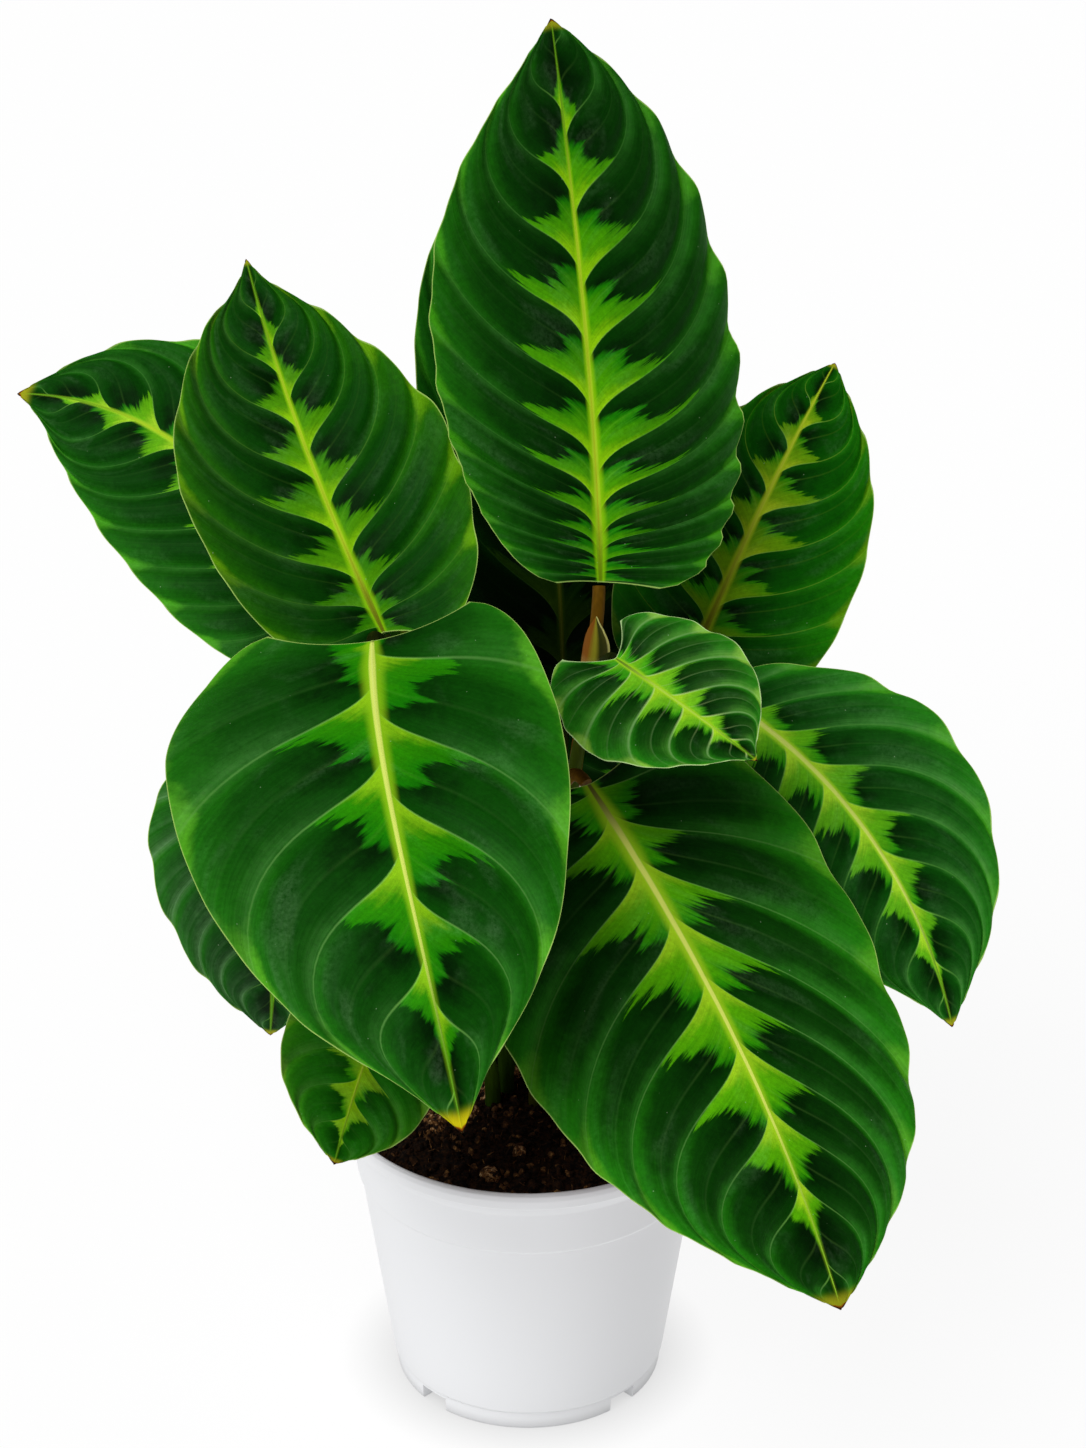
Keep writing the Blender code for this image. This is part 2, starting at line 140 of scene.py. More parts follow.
def plasticMaterial():
    # moulded polypropylene: an even satin white with a very faint unevenness in its gloss, and
    # painted shade that greys it in the creases and nooks
    material, tree, shader = startMaterial("moulded_polypropylene", {
        "Roughness": pot["roughness"], "IOR": 1.49, "Specular IOR Level": 0.4})
    # painted shade: the creases and nooks are painted greyer the more closed in they are
    crease = addNode(tree, "ShaderNodeAmbientOcclusion", {"Distance": pot["crease"] * mm})
    creaseShade = addNode(tree, "ShaderNodeMapRange", {
        "Value": crease.outputs["AO"], "From Min": 0.4, "From Max": 0.96,
        "To Min": pot["creaseShadeGrey"], "To Max": 1.0})
    paint = addNode(tree, "ShaderNodeVectorMath",
                    {0: colour(pot["white"])[:3], "Scale": creaseShade}, operation='SCALE')
    place = addNode(tree, "ShaderNodeTexCoord")
    ripple = addNode(tree, "ShaderNodeTexNoise",
                     {"Vector": place.outputs["Object"], "Scale": 90.0, "Detail": 2.0})
    bump = addNode(tree, "ShaderNodeBump",
                   {"Height": ripple, "Strength": 0.12, "Distance": 0.05 * mm})
    endMaterial(tree, shader, paint, bump)
    return material


def cornersAt(radius, height, steps):
    return [(radius + across, height + up) for across, up in steps]


def roundedProfile(points, corner):
    # each corner of the turned profile as a small arc
    rounded = [points[0]]
    for before, here, after in zip(points, points[1:], points[2:]):
        here, before, after = Vector(here), Vector(before), Vector(after)
        back, ahead = before - here, after - here
        reach = min(corner, 0.4 * back.length, 0.4 * ahead.length)
        start, end = here + back.normalized() * reach, here + ahead.normalized() * reach
        rounded.append(tuple(start + 0.05 * (before - start)))
        for t in (0.0, 0.33, 0.67, 1.0):
            rounded.append(tuple((1 - t) ** 2 * start + 2 * t * (1 - t) * here + t * t * end))
        rounded.append(tuple(end + 0.05 * (after - end)))
    return rounded + [points[-1]]


def innerRadius(height):
    slope = ((pot["stepRadius"] - pot["footLineRadius"])
             / (pot["stepHeight"] - pot["footLineHeight"]))
    return pot["footLineRadius"] + slope * (height - pot["footLineHeight"]) - pot["wall"]


def channelCutter(target, operation, start, end, width, height, bottom):
    # four bars from the axis outwards, added to the pot's floor or cut from below
    mesh = bpy.data.meshes.new("bars")
    shape = bmesh.new()
    for i in range(pot["channels"]):
        bar = bmesh.ops.create_cube(shape, size=1.0)["verts"]
        bmesh.ops.scale(shape, verts=bar, vec=Vector((end - start, width, height - bottom)) * mm)
        bmesh.ops.translate(shape, verts=bar,
                            vec=Vector(((start + end) / 2, 0.0, (height + bottom) / 2)) * mm)
        bmesh.ops.rotate(shape, verts=bar,
                         matrix=Matrix.Rotation(math.tau * (i + 0.5) / pot["channels"], 3, 'Z'))
    shape.to_mesh(mesh)
    shape.free()
    bars = bpy.data.objects.new("bars", mesh)
    bpy.context.scene.collection.objects.link(bars)
    cut = target.modifiers.new("Bars", 'BOOLEAN')
    cut.operation = operation
    cut.object = bars
    cut.solver = 'EXACT'
    return bars


def makePot():
    # one profile, up the inside, over the rim and down the outside, turned about the pot's axis
    wall, step = pot["wall"], pot["stepDepth"]
    floorEdge, floorCorner = innerRadius(pot["floor"]), pot["floorCorner"]
    inside = [(0, pot["floor"]), (floorEdge - floorCorner, pot["floor"]),
              (floorEdge, pot["floor"] + floorCorner),
              (innerRadius(pot["stepHeight"]), pot["stepHeight"]),
              (pot["collarRadius"] - wall, pot["collarHeight"]),
              (pot["lipRadius"] + 0.6, pot["bandHeight"] + 2)]
    rim = (cornersAt(pot["lipRadius"], pot["rimHeight"], pot["lipCorners"])
           + cornersAt(pot["rimRadius"], pot["rimHeight"], pot["rimCorners"])
           + cornersAt(pot["bandRadius"], pot["bandHeight"], pot["bandCorners"]))
    outside = [(pot["collarRadius"], pot["collarHeight"]),
               (pot["stepRadius"] + step, pot["stepHeight"]),
               (pot["stepRadius"], pot["stepHeight"] - step),
               (pot["footLineRadius"], pot["footLineHeight"]),
               (pot["footLineRadius"] - step, pot["footLineHeight"] - step),
               (pot["footRadius"], pot["footCorner"]),
               (pot["footRadius"] - pot["footCorner"], 0), (0, 0)]
    profile = roundedProfile(inside + rim + outside, pot["corner"])
    mesh = bpy.data.meshes.new("pot_profile")
    mesh.from_pydata([(r * mm, 0.0, z * mm) for r, z in profile],
                     [(i, i + 1) for i in range(len(profile) - 1)], [])
    blank = bpy.data.objects.new("pot_blank", mesh)
    bpy.context.scene.collection.objects.link(blank)
    screw = blank.modifiers.new("Turn", 'SCREW')
    screw.steps = screw.render_steps = pot["segments"]
    screw.use_merge_vertices = True
    screw.merge_threshold = 0.00001
    width, height = pot["channelWidth"], pot["channelHeight"]
    covers = channelCutter(blank, 'UNION', pot["channelStart"] - wall, pot["footRadius"] - wall / 2,
                           width + 2 * wall, height + wall, pot["floor"] / 2)
    channels = channelCutter(blank, 'DIFFERENCE', pot["channelStart"], 1.2 * pot["footRadius"],
                             width, height, -wall)
    shell = bakedMesh(blank)
    for helper in (blank, covers, channels):
        bpy.data.objects.remove(helper)
    shell.shade_smooth()
    shell.set_sharp_from_angle(angle=math.radians(32))
    addPiece("pot_shell", shell, [plasticMaterial()], ["pot"])


makePot()
print("pot turned")


# Soil: peat with bark and coir, in loose crumbs. Millimetres. Only ground above grownFrom has
# crumbs, and gap is the space between the soil and the pot's wall.
soil = {
    "edge": 107.0, "crown": 110.6, "rings": 44, "segments": 120, "unevenness": 1.5,
    "lumpiness": 110, "grownFrom": 101.5, "gap": 0.4, "roughness": 0.9,
    "peat": [(0.4, "#0a0604"), (0.7, "#3c2410")],
    "coir": [(0.35, "#1c0f07"), (0.52, "#5a3a1a"), (0.7, "#b08448")],
    "bark": [(0.42, "#120904"), (0.53, "#7a4e20"), (0.63, "#ecc48c")],
}

# The crumbs lying on it. Density is pieces per square metre; size, reach from the pot's axis and
# roughen, how far noise pushes their faces, are millimetres.
grit = {
    "soil_crumbs": dict(density=170000.0, size=1.1, stretch=1.2, reach=61.5, roughen=0.9,
                        detail=1, seed=3, material="peat"),
    "soil_lumps": dict(density=26000.0, size=2.4, stretch=1.1, reach=59.0, roughen=2.2,
                       detail=2, seed=8, material="peat"),
    "soil_chips": dict(density=20000.0, size=1.6, stretch=1.4, reach=59.0, roughen=1.6,
                       detail=2, seed=21, material="coir"),
    "soil_bark": dict(density=3200.0, size=4.3, stretch=1.2, reach=55.5, roughen=3.6,
                      detail=3, seed=5, material="bark"),
    "soil_fibres": dict(density=30000.0, size=0.32, stretch=9.0, reach=58.0, roughen=0.8,
                        detail=1, seed=34, material="coir"),
}


def soilHeight(x, y):
    # metres, above the pot's foot
    share = math.hypot(x, y) / (pot["collarRadius"] * mm)
    return (soil["crown"] - (soil["crown"] - soil["edge"]) * share ** 2) * mm


def peatMaterial(name, stops, wet):
    # milled peat and coir: dull, nearly black when damp, with golden broken fibre ends
    material, tree, shader = startMaterial(name, {
        "Roughness": soil["roughness"], "Specular IOR Level": wet})
    place = addNode(tree, "ShaderNodeTexCoord")
    grain = addNode(tree, "ShaderNodeTexNoise", {
        "Vector": place.outputs["Object"], "Scale": 1 / (1.6 * mm), "Detail": 4.0,
        "Roughness": 0.7})
    paint = addNode(tree, "ShaderNodeValToRGB", {"Fac": grain}, stops=stops)
    bump = addNode(tree, "ShaderNodeBump",
                   {"Height": grain, "Strength": 0.9, "Distance": 0.6 * mm})
    endMaterial(tree, shader, paint, bump)
    return material


def ringSpots(radius):
    # one ring of the soil, in metres
    angles = [math.tau * i / soil["segments"] for i in range(soil["segments"])]
    return [(radius * mm * math.cos(angle), radius * mm * math.sin(angle)) for angle in angles]


def makeSoilBody(material):
    edge = pot["collarRadius"] - pot["wall"] + 0.5 * (soil["edge"] - pot["collarHeight"]) - 0.3
    below = [(edge - 1.4, pot["collarHeight"]), (innerRadius(85.5) - soil["gap"], 85.0),
             (innerRadius(12) - soil["gap"], 12.0)]
    points, faces = [(0.0, 0.0, soilHeight(0, 0))], []
    for ring in range(soil["rings"]):
        radius = edge * (ring + 1) / soil["rings"]
        calm = min(1.0, (edge - radius) / 4.0)
        for x, y in ringSpots(radius):
            lump = noise.fractal(Vector((x, y, 0.3)) * soil["lumpiness"], 0.8, 2.1, 4)
            points.append((x, y, soilHeight(x, y) + soil["unevenness"] * mm * lump * calm))
    for radius, height in below:
        points += [(x, y, height * mm) for x, y in ringSpots(radius)]
    count = soil["segments"]
    for i in range(count):
        faces.append((0, 1 + i, 1 + (i + 1) % count))
    for ring in range(soil["rings"] + len(below) - 1):
        for i in range(count):
            a, b = 1 + ring * count + i, 1 + ring * count + (i + 1) % count
            faces.append((a, a + count, b + count, b))
    faces.append(tuple(reversed(range(len(points) - count, len(points)))))
    mesh = bpy.data.meshes.new("soil_body")
    mesh.from_pydata(points, [], faces)
    mesh.shade_smooth()
    return addPiece("soil_body", mesh, [material], ["soil"])


def startTree(name, sizes, counts):
    # a geometry node tree with its inputs and its output
    tree = bpy.data.node_groups.new(name, 'GeometryNodeTree')
    inputs = ([("Geometry", 'Geometry')] + [(size, 'Float') for size in sizes]
              + [(count, 'Int') for count in counts] + [("material", 'Material')])
    for label, kind in inputs:
        tree.interface.new_socket(label, in_out='INPUT', socket_type=f"NodeSocket{kind}")
    tree.interface.new_socket("Geometry", in_out='OUTPUT', socket_type='NodeSocketGeometry')
    return tree, addNode(tree, "NodeGroupInput").outputs


def crumbTree():
    # scatters rough crumbs over the ground's upper face, within a reach of the pot's axis
    tree, given = startTree("crumbs", ("density", "size", "stretch", "reach", "roughen"),
                            ("detail", "seed"))
    place = addNode(tree, "GeometryNodeInputPosition")
    flat = addNode(tree, "ShaderNodeVectorMath", {0: place, 1: (1, 1, 0)}, operation='MULTIPLY')
    radius = addNode(tree, "ShaderNodeVectorMath", {0: flat}, operation='LENGTH')
    height = addNode(tree, "ShaderNodeSeparateXYZ", {0: place})
    inReach = addNode(tree, "FunctionNodeCompare", {"A": radius.outputs["Value"],
                                                    "B": given["reach"]}, operation='LESS_THAN')
    onTop = addNode(tree, "FunctionNodeCompare", {
        "A": height.outputs["Z"], "B": soil["grownFrom"] * mm}, operation='GREATER_THAN')
    wanted = addNode(tree, "FunctionNodeBooleanMath", {0: inReach, 1: onTop})
    spots = addNode(tree, "GeometryNodeDistributePointsOnFaces", {
        "Mesh": given["Geometry"], "Selection": wanted, "Density": given["density"],
        "Seed": given["seed"]})
    crumb = addNode(tree, "GeometryNodeMeshIcoSphere",
                    {"Radius": 1.0, "Subdivisions": given["detail"]})
    turn = addNode(tree, "FunctionNodeRandomValue", {
        0: (0, 0, 0), 1: (6.28, 6.28, 6.28), "Seed": given["seed"]}, data_type='FLOAT_VECTOR')
    shape = addNode(tree, "FunctionNodeRandomValue", {
        0: (0.5, 0.5, 0.4), 1: (1.25, 1.0, 0.8), "Seed": given["seed"]},
        data_type='FLOAT_VECTOR')
    longer = addNode(tree, "ShaderNodeCombineXYZ",
                     {"X": given["stretch"], "Y": 1.0, "Z": 1.0})
    shape = addNode(tree, "ShaderNodeVectorMath", {0: shape, 1: longer}, operation='MULTIPLY')
    shape = addNode(tree, "ShaderNodeVectorMath", {0: shape, "Scale": given["size"]},
                    operation='SCALE')
    crumbs = addNode(tree, "GeometryNodeInstanceOnPoints", {
        "Points": spots, "Instance": crumb, "Rotation": turn, "Scale": shape})
    real = addNode(tree, "GeometryNodeRealizeInstances", {"Geometry": crumbs})
    rough = addNode(tree, "ShaderNodeTexNoise", {"Scale": 420.0, "Detail": 3.0})
    off = addNode(tree, "ShaderNodeVectorMath", {0: rough.outputs["Color"], 1: (0.5, 0.5, 0.5)},
                  operation='SUBTRACT')
    off = addNode(tree, "ShaderNodeVectorMath", {0: off, "Scale": given["roughen"]},
                  operation='SCALE')
    moved = addNode(tree, "GeometryNodeSetPosition", {"Geometry": real, "Offset": off})
    done = addNode(tree, "GeometryNodeSetMaterial",
                   {"Geometry": moved, "Material": given["material"]})
    addNode(tree, "NodeGroupOutput", {"Geometry": done})
    return tree


def grown(source, tree, inputs):
    # the tree's result on the source as a plain mesh; inputs are set by their identifiers
    modifier = source.modifiers.new("Grow", 'NODES')
    modifier.node_group = tree
    named = {item.name: item.identifier for item in tree.interface.items_tree
             if item.in_out == 'INPUT'}
    for name, value in inputs.items():
        modifier[named[name]] = value
    mesh = bakedMesh(source)
    source.modifiers.remove(modifier)
    return mesh


def makeSoil():
    skins = {"peat": peatMaterial("damp_milled_peat", soil["peat"], 0.15),
             "coir": peatMaterial("broken_coir_chips", soil["coir"], 0.3),
             "bark": peatMaterial("crumbled_bark", soil["bark"], 0.3)}
    body = makeSoilBody(skins["peat"])
    tree = crumbTree()
    for name, layer in grit.items():
        skin = skins[layer["material"]]
        inputs = layer | {key: layer[key] * mm for key in ("size", "reach", "roughen")}
        mesh = grown(body, tree, inputs | {"material": skin})
        addPiece(name, mesh, [skin])


makeSoil()
print("soil crumbled")


# Leaves. Each: its blade's base in millimetres, where the midrib aims from there (azimuth from the
# front round to the right, pitch above level, then roll), the midrib's length, and how far the
# blade reaches to its left and its right where it is widest.
# Outline: widest is that place and lobe how far the lobes reach back behind the base, as shares of
# the length. Shoulder is the half width at the base as a share of the widest, the fullnesses are
# how round the outline is below and above that place, and point slims the tip.
# Pose: droop, side and twist are degrees over the whole length, fold is degrees, and cup is how
# much the halves rise towards their edges.
# Surface: ruffle is the margin's waves, left and right, and furrow the waves along the veins, in
# millimetres. Rib is half the midrib's width at the base and the tip. Veins is how many each side
# has, crowd the extra ones near the base and how far they reach, shift their stagger on the left
# and the right, path where they end on the margin and how late they bend, and slope how steeply
# they start on the left and the right.
# Stalk: crown is where it leaves the soil, as millimetres from the crown's centre and a bearing,
# rise the share of its height that it goes up before it leans, lead how long it follows the
# midrib's line below the blade, and seat how far behind the base it ends. Petiole is an entry of
# stalkLooks, and look an entry of looks.
usual = dict(roll=0, widest=0.42, lobe=0.03, shoulder=0.35, base_fullness=2.4, tip_fullness=2.3,
             point=0.25, droop=10, side=0, twist=0, fold=4, cup=-0.05, veins=7,
             rise=0.5, lead=25, seat=1.2, ruffle=(0.6, 0.6), furrow=1.4, look="shaded",
             rib=(1.3, 0.2), crowd=(1.5, 0.08), shift=(0.5, 0.0), path=(0.8, 2.2, 3.0),
             slope=(0.45, 0.45), petiole="green")

leaves = {
    "top": dict(base=(25, 15, 310), azimuth=182, pitch=56, roll=-24, length=194, left=60, right=65,
                widest=0.41, lobe=0.01, shoulder=0.32, base_fullness=1.9, tip_fullness=2.4,
                point=0.08, droop=-13, side=15, twist=9, fold=18, cup=-0.29, veins=7.5,
                crown=(7, 110), look="top", ruffle=(0.3, 1.3), rib=(1.6, 0.2),
                crowd=(5.0, 0.1), shift=(0.48, 0.2), path=(1.0, 2.3, 3.0),
                slope=(0.4, 0.46), petiole="brown"),
    "upper_left": dict(base=(-49, 0, 298), azimuth=214, pitch=41, roll=12, length=153,
                       left=51, right=46, widest=0.39, lobe=0.06, shoulder=0.34,
                       tip_fullness=1.6, point=0.5, droop=8, side=-12, twist=-4, fold=9,
                       cup=0.22, crown=(8, 265), look="upperLeft"),
    "far_left": dict(base=(-78, 30, 285), azimuth=200, pitch=43, roll=24, length=161,
                     left=45, right=46, widest=0.36, lobe=0.05, shoulder=0.36,
                     base_fullness=2.0, point=0.28, droop=15, side=65, twist=2, cup=-0.09,
                     crown=(18, 262), look="farLeft"),
    "front_left": dict(base=(-51, -40, 314), azimuth=1, pitch=-5, roll=-10, length=191,
                       left=59, right=69, widest=0.23, lobe=0.11, shoulder=0.54,
                       base_fullness=1.5, tip_fullness=2.7, point=0.34, droop=62, side=18,
                       twist=-22, fold=-5, cup=-0.04, veins=5.25, crown=(15, 318), seat=1.5,
                       look="frontLeft", rib=(1.4, 0.2), crowd=(0.0, 0.1),
                       shift=(0.3, -0.05), path=(0.8, 2.1, 3.0), slope=(0.46, 0.42)),
    "young": dict(base=(30, -10, 293), azimuth=38, pitch=-5, roll=-19, length=76,
                  left=31, right=36, widest=0.34, lobe=0.15, shoulder=0.4, base_fullness=1.6,
                  tip_fullness=1.8, point=0.34, droop=0, side=-3, twist=4, fold=15,
                  cup=-0.18, veins=4.8, crown=(7, 50), lead=12, seat=1.5, look="young",
                  ruffle=(0.3, 1.1), furrow=0.9, rib=(0.6, 0.2)),
    "front_right": dict(base=(21, -20, 250), azimuth=34, pitch=-28, roll=-6, length=201,
                        left=71, right=78, widest=0.4, lobe=0.07, shoulder=0.47,
                        base_fullness=2.2, tip_fullness=3.0, point=0.05, droop=20, side=-5,
                        twist=-20, fold=-1, veins=8, crown=(20, 3), look="frontRight",
                        rib=(1.5, 0.2), crowd=(0.8, 0.08), shift=(0.28, 0.4),
                        path=(0.75, 2.1, 3.0), slope=(0.7, 0.5), petiole="brown"),
    "right": dict(base=(69, 37, 255), azimuth=56, pitch=-17, roll=-18, length=147,
                  left=51, right=49, widest=0.35, shoulder=0.1, base_fullness=1.5,
                  tip_fullness=2.0, point=0.23, droop=43, side=-31, twist=14, fold=-9,
                  cup=0.09, crown=(17, 48), lead=30, seat=2.4, rise=0.6, look="right"),
    "upper_right": dict(base=(56.5, 52, 256.6), azimuth=149, pitch=41, roll=-22, length=144,
                        left=39.5, right=43.5, widest=0.34, shoulder=0.36, base_fullness=2.6,
                        point=0.18, droop=19, side=-2, twist=-4, fold=1, cup=-0.22,
                        crown=(18, 85), lead=8, look="upperRight"),
    "low_left": dict(base=(-84, -12, 254), azimuth=348, pitch=-74, roll=7, length=114,
                     left=47, right=46, widest=0.27, shoulder=0.34, base_fullness=2.3,
                     tip_fullness=1.9, droop=39, side=-3, twist=-7, fold=5, cup=-0.2,
                     veins=6, crown=(18, 290), seat=1.5, look="lowLeft"),
    "small_low": dict(base=(-47, -45, 182), azimuth=344, pitch=-16, roll=29, length=80,
                      left=26, right=30, tip_fullness=2.4, point=0.07, droop=-7, side=5,
                      fold=0, cup=0.08, veins=4.6, crown=(25, 324), lead=18, look="smallLow",
                      rib=(0.7, 0.2), furrow=0.7, ruffle=(0.3, 0.3)),
    "behind_top": dict(base=(13, 72, 236), azimuth=183, pitch=59, roll=-13, length=214,
                       left=51, right=46, widest=0.51, shoulder=0.33, tip_fullness=2.6,
                       point=0.1, droop=0, side=7, twist=4, fold=6, cup=0.06, crown=(10, 160),
                       rib=(0.9, 0.4), look="behind"),
    "rear_left": dict(base=(-20, 62, 214), azimuth=208, pitch=34, length=150, left=42, right=42,
                      droop=35, veins=6, crown=(16, 212)),
    "rear_right": dict(base=(34, 62, 206), azimuth=152, pitch=30, length=145, left=40, right=40,
                       droop=35, veins=6, crown=(18, 150)),
    "inner_right": dict(base=(50, 36, 196), azimuth=122, pitch=24, length=100, left=32, right=32,
                        droop=35, veins=6, crown=(21, 124)),
    "inner_left": dict(base=(-42, 34, 200), azimuth=238, pitch=24, length=96, left=30, right=30,
                       droop=35, veins=6, crown=(17, 236)),
}

# Every blade: its mesh, how far the veins run down into the midrib, how the columns crowd towards
# it, and in millimetres the thickness, the midrib's keel below and its rise above
blade = {
    "rows": 112, "columns": 22, "midribSteps": 40, "decurrence": 0.042, "crowding": 1.4,
    "thickness": 0.42, "keel": 2.1, "ribRise": 0.35,
}


def turned(vector, axis, degrees):
    return Matrix.Rotation(math.radians(degrees), 3, axis) @ vector


def midribFrames(leaf):
    # points along the midrib, each with its directions along, across and up from the blade
    azimuth, pitch = math.radians(leaf["azimuth"]), math.radians(leaf["pitch"])
    level = Vector((math.sin(azimuth), -math.cos(azimuth), 0.0))
    along = math.cos(pitch) * level + math.sin(pitch) * Vector((0.0, 0.0, 1.0))
    across = turned(level.cross(Vector((0.0, 0.0, 1.0))), along, -leaf["roll"])
    up = across.cross(along)
    place = Vector(leaf["base"]) * mm
    frames = [(place, along, across, up)]
    steps = blade["midribSteps"]
    for i in range(steps):
        start, end = i / steps, (i + 1) / steps
        along = turned(along, across, -leaf["droop"] * (end ** 1.3 - start ** 1.3))
        up = across.cross(along)
        along = turned(along, up, leaf["side"] / steps)
        across = turned(along.cross(up), along, leaf["twist"] / steps)
        up = across.cross(along)
        place = place + along * leaf["length"] * mm / steps
        frames.append((place, along, across, up))
    return frames


def frameAt(frames, height, leaf):
    # the midrib's place and directions at a share of the length, smooth between the frames
    steps = blade["midribSteps"]
    if height <= 0.0:
        place, along, across, up = frames[0]
        return place + along * height * leaf["length"] * mm, along, across, up
    index = min(int(height * steps), steps - 1)
    t = height * steps - index
    a, b = frames[index][0], frames[index + 1][0]
    before = frames[index - 1][0] if index else 2 * a - b
    after = frames[index + 2][0] if index + 2 <= steps else 2 * b - a
    place = 0.5 * (2 * a + (b - before) * t + (2 * before - 5 * a + 4 * b - after) * t * t
                   + (3 * a - before - 3 * b + after) * t ** 3)
    directions = [p.lerp(q, t).normalized() for p, q in zip(frames[index][1:], frames[index + 1][1:])]
    return place, *directions


def halfWidth(height, leaf):
    # the outline's share of the widest half width, at a share of the length from the base
    widest, shoulder = leaf["widest"], leaf["shoulder"]
    if height < widest:
        share = (widest - height) / (widest + leaf["lobe"])
        swell = math.sqrt(max(0.0, 1.0 - min(1.0, share) ** leaf["base_fullness"]))
        return shoulder + (1.0 - shoulder) * swell
    share = (height - widest) / (1.0 - widest)
    end = min(1.0, max(0.0, (share - 0.7) / 0.3))
    end = end * end * (3.0 - 2.0 * end)
    return (1.0 - share ** leaf["tip_fullness"]) * (1.0 - leaf["point"] * end)


def baseEdge(leaf, out):
    # how far along the midrib the blade's back edge lies, at a share of the half width
    low, high = -leaf["lobe"], 0.0
    for _ in range(24):
        height = (low + high) / 2
        share = min(1.0, out * halfWidth(height, leaf) / leaf["shoulder"])
        if height + leaf["lobe"] * (0.35 * share + 0.65 * share ** 2.2) < 0.0:
            low = height
        else:
            high = height
    return (low + high) / 2


def bladePoint(leaf, frames, station, reach, back):
    # the top face where the vein that starts at the station has run a share of its reach, and
    # what the paint needs to know there
    out = abs(reach)
    side = 0 if reach < 0.0 else 1

    # along the midrib: where the vein ends on the margin, how far up it has run at this share of
    # its reach, back over the lobes at the base, and down into the midrib where it starts
    spacing, sweep, bend = leaf["path"]
    end = -leaf["lobe"] + (1.0 + leaf["lobe"]) * (1.0 - (1.0 - station ** spacing) ** sweep)
    course = leaf["slope"][side] * out + (1.0 - leaf["slope"][side]) * out ** bend
    height = station + (end - station) * course
    height += (back + leaf["lobe"] * course) * max(0.0, 1.0 - station / 0.2) ** 2
    height -= (blade["decurrence"] * min(1.0, station / 0.12) * min(1.0, (1.0 - station) / 0.2)
               * math.exp(-out / 0.08))

    # sideways, with the margin's waves
    width = (leaf["right"] if side else leaf["left"]) * mm
    phase = (station * leaf["veins"] - leaf["shift"][side]
             + leaf["crowd"][0] * (1.0 - math.exp(-station / leaf["crowd"][1])))
    ruffle = leaf["ruffle"][side] * mm * out ** 4 * min(1.0, 4.0 * (1.0 - end))
    half = width * halfWidth(height, leaf)
    sideways = half * out - 0.6 * ruffle * math.cos(math.tau * (phase - 0.1))
    place, _, across, up = frameAt(frames, height, leaf)

    # off the flat: the fold, the cup, the furrows along the veins, the ruffle and the midrib
    fold = math.radians(leaf["fold"]) * (1.0 - 0.6 * min(1.0, max(0.0, height)))
    rise = sideways * math.sin(fold) + leaf["cup"] * sideways ** 2 / width
    fade = min(1.0, 12.0 * station) * (half / width) ** 0.8
    wave = -math.cos(math.tau * phase) - 0.35 * math.cos(math.tau * 2.0 * (phase - 0.02))
    rise += leaf["furrow"] * mm * wave * min(1.0, out / 0.35) * fade
    rise += ruffle * math.cos(math.tau * (phase + 0.2))
    ribHalf = (leaf["rib"][0] + (leaf["rib"][1] - leaf["rib"][0]) * max(0.0, height) ** 0.8) * mm
    ribShare = sideways / (ribHalf * (0.5 + 0.5 * min(1.0, max(0.0, height) / 0.08)))
    rise += blade["ribRise"] * mm * max(0.0, 1.0 - ribShare ** 2) * (1.0 - 0.6 * height)
    toEdge = min(half * (1.0 - out), (height - back) * leaf["length"] * mm * 0.9)
    place = place + across * math.copysign(sideways * math.cos(fold), reach) + up * rise
    return place, (phase, reach, height), (ribShare, toEdge / mm, out), up


def bladeMesh(name, leaf, frames):
    rows, columns = blade["rows"], blade["columns"]
    reaches = [math.copysign((abs(i) / columns) ** blade["crowding"], i)
               for i in range(-columns, columns + 1)]
    across = len(reaches)
    stations = [(row / rows) ** (1.2 / leaf["path"][0]) for row in range(rows)]
    backs = [baseEdge(leaf, abs(reach)) for reach in reaches]
    top = [bladePoint(leaf, frames, station, reach, back)
           for station in stations for reach, back in zip(reaches, backs)]
    top.append(bladePoint(leaf, frames, 1.0, 0.0, 0.0))
    tip = rows * across
    faces = []
    for row in range(rows - 1):
        for i in range(across - 1):
            a = row * across + i
            faces.append((a, a + 1, a + across + 1, a + across))
    for i in range(across - 1):
        a = (rows - 1) * across + i
        faces.append((a, a + 1, tip))
    points = [point for point, *_ in top]
    shape = bpy.data.meshes.new("face")
    shape.from_pydata(points, [], faces)
    normals = [vertex.normal.copy() for vertex in shape.vertices]
    bpy.data.meshes.remove(shape)
    below = []
    for (point, (_, _, height), (ribShare, _, out), up), normal in zip(top, normals):
        keel = blade["keel"] * max(0.0, 1.0 - ribShare ** 2) * (1.0 - 0.8 * max(0.0, height))
        above = normal if normal.dot(up) > 0.0 else -normal
        thickness = blade["thickness"] * (1.0 - 0.45 * out ** 6)
        below.append(point - above * thickness * mm - up * keel * mm)
    count = len(top)
    lower = [tuple(reversed([count + v for v in face])) for face in faces]
    border = ([row * across for row in range(rows)] + [tip]
              + [row * across + across - 1 for row in reversed(range(rows))]
              + list(range(across - 2, 0, -1)))
    rim = [(b, a, a + count, b + count) for a, b in zip(border, border[1:] + border[:1])]
    mesh = bpy.data.meshes.new(name)
    mesh.from_pydata(points + below, [], faces + lower + rim)
    for index in range(len(faces), len(faces) + len(lower)):
        mesh.polygons[index].material_index = 1
    leafData = mesh.attributes.new("leaf", 'FLOAT_VECTOR', 'POINT')
    nearData = mesh.attributes.new("near", 'FLOAT_VECTOR', 'POINT')
    for i, (_, where, near, _) in enumerate(top + top):
        leafData.data[i].vector = where
        nearData.data[i].vector = near
    layOut(mesh, leaf, top, len(faces))
    mesh.shade_smooth()
    mesh.set_sharp_from_angle(angle=math.radians(50))
    return mesh


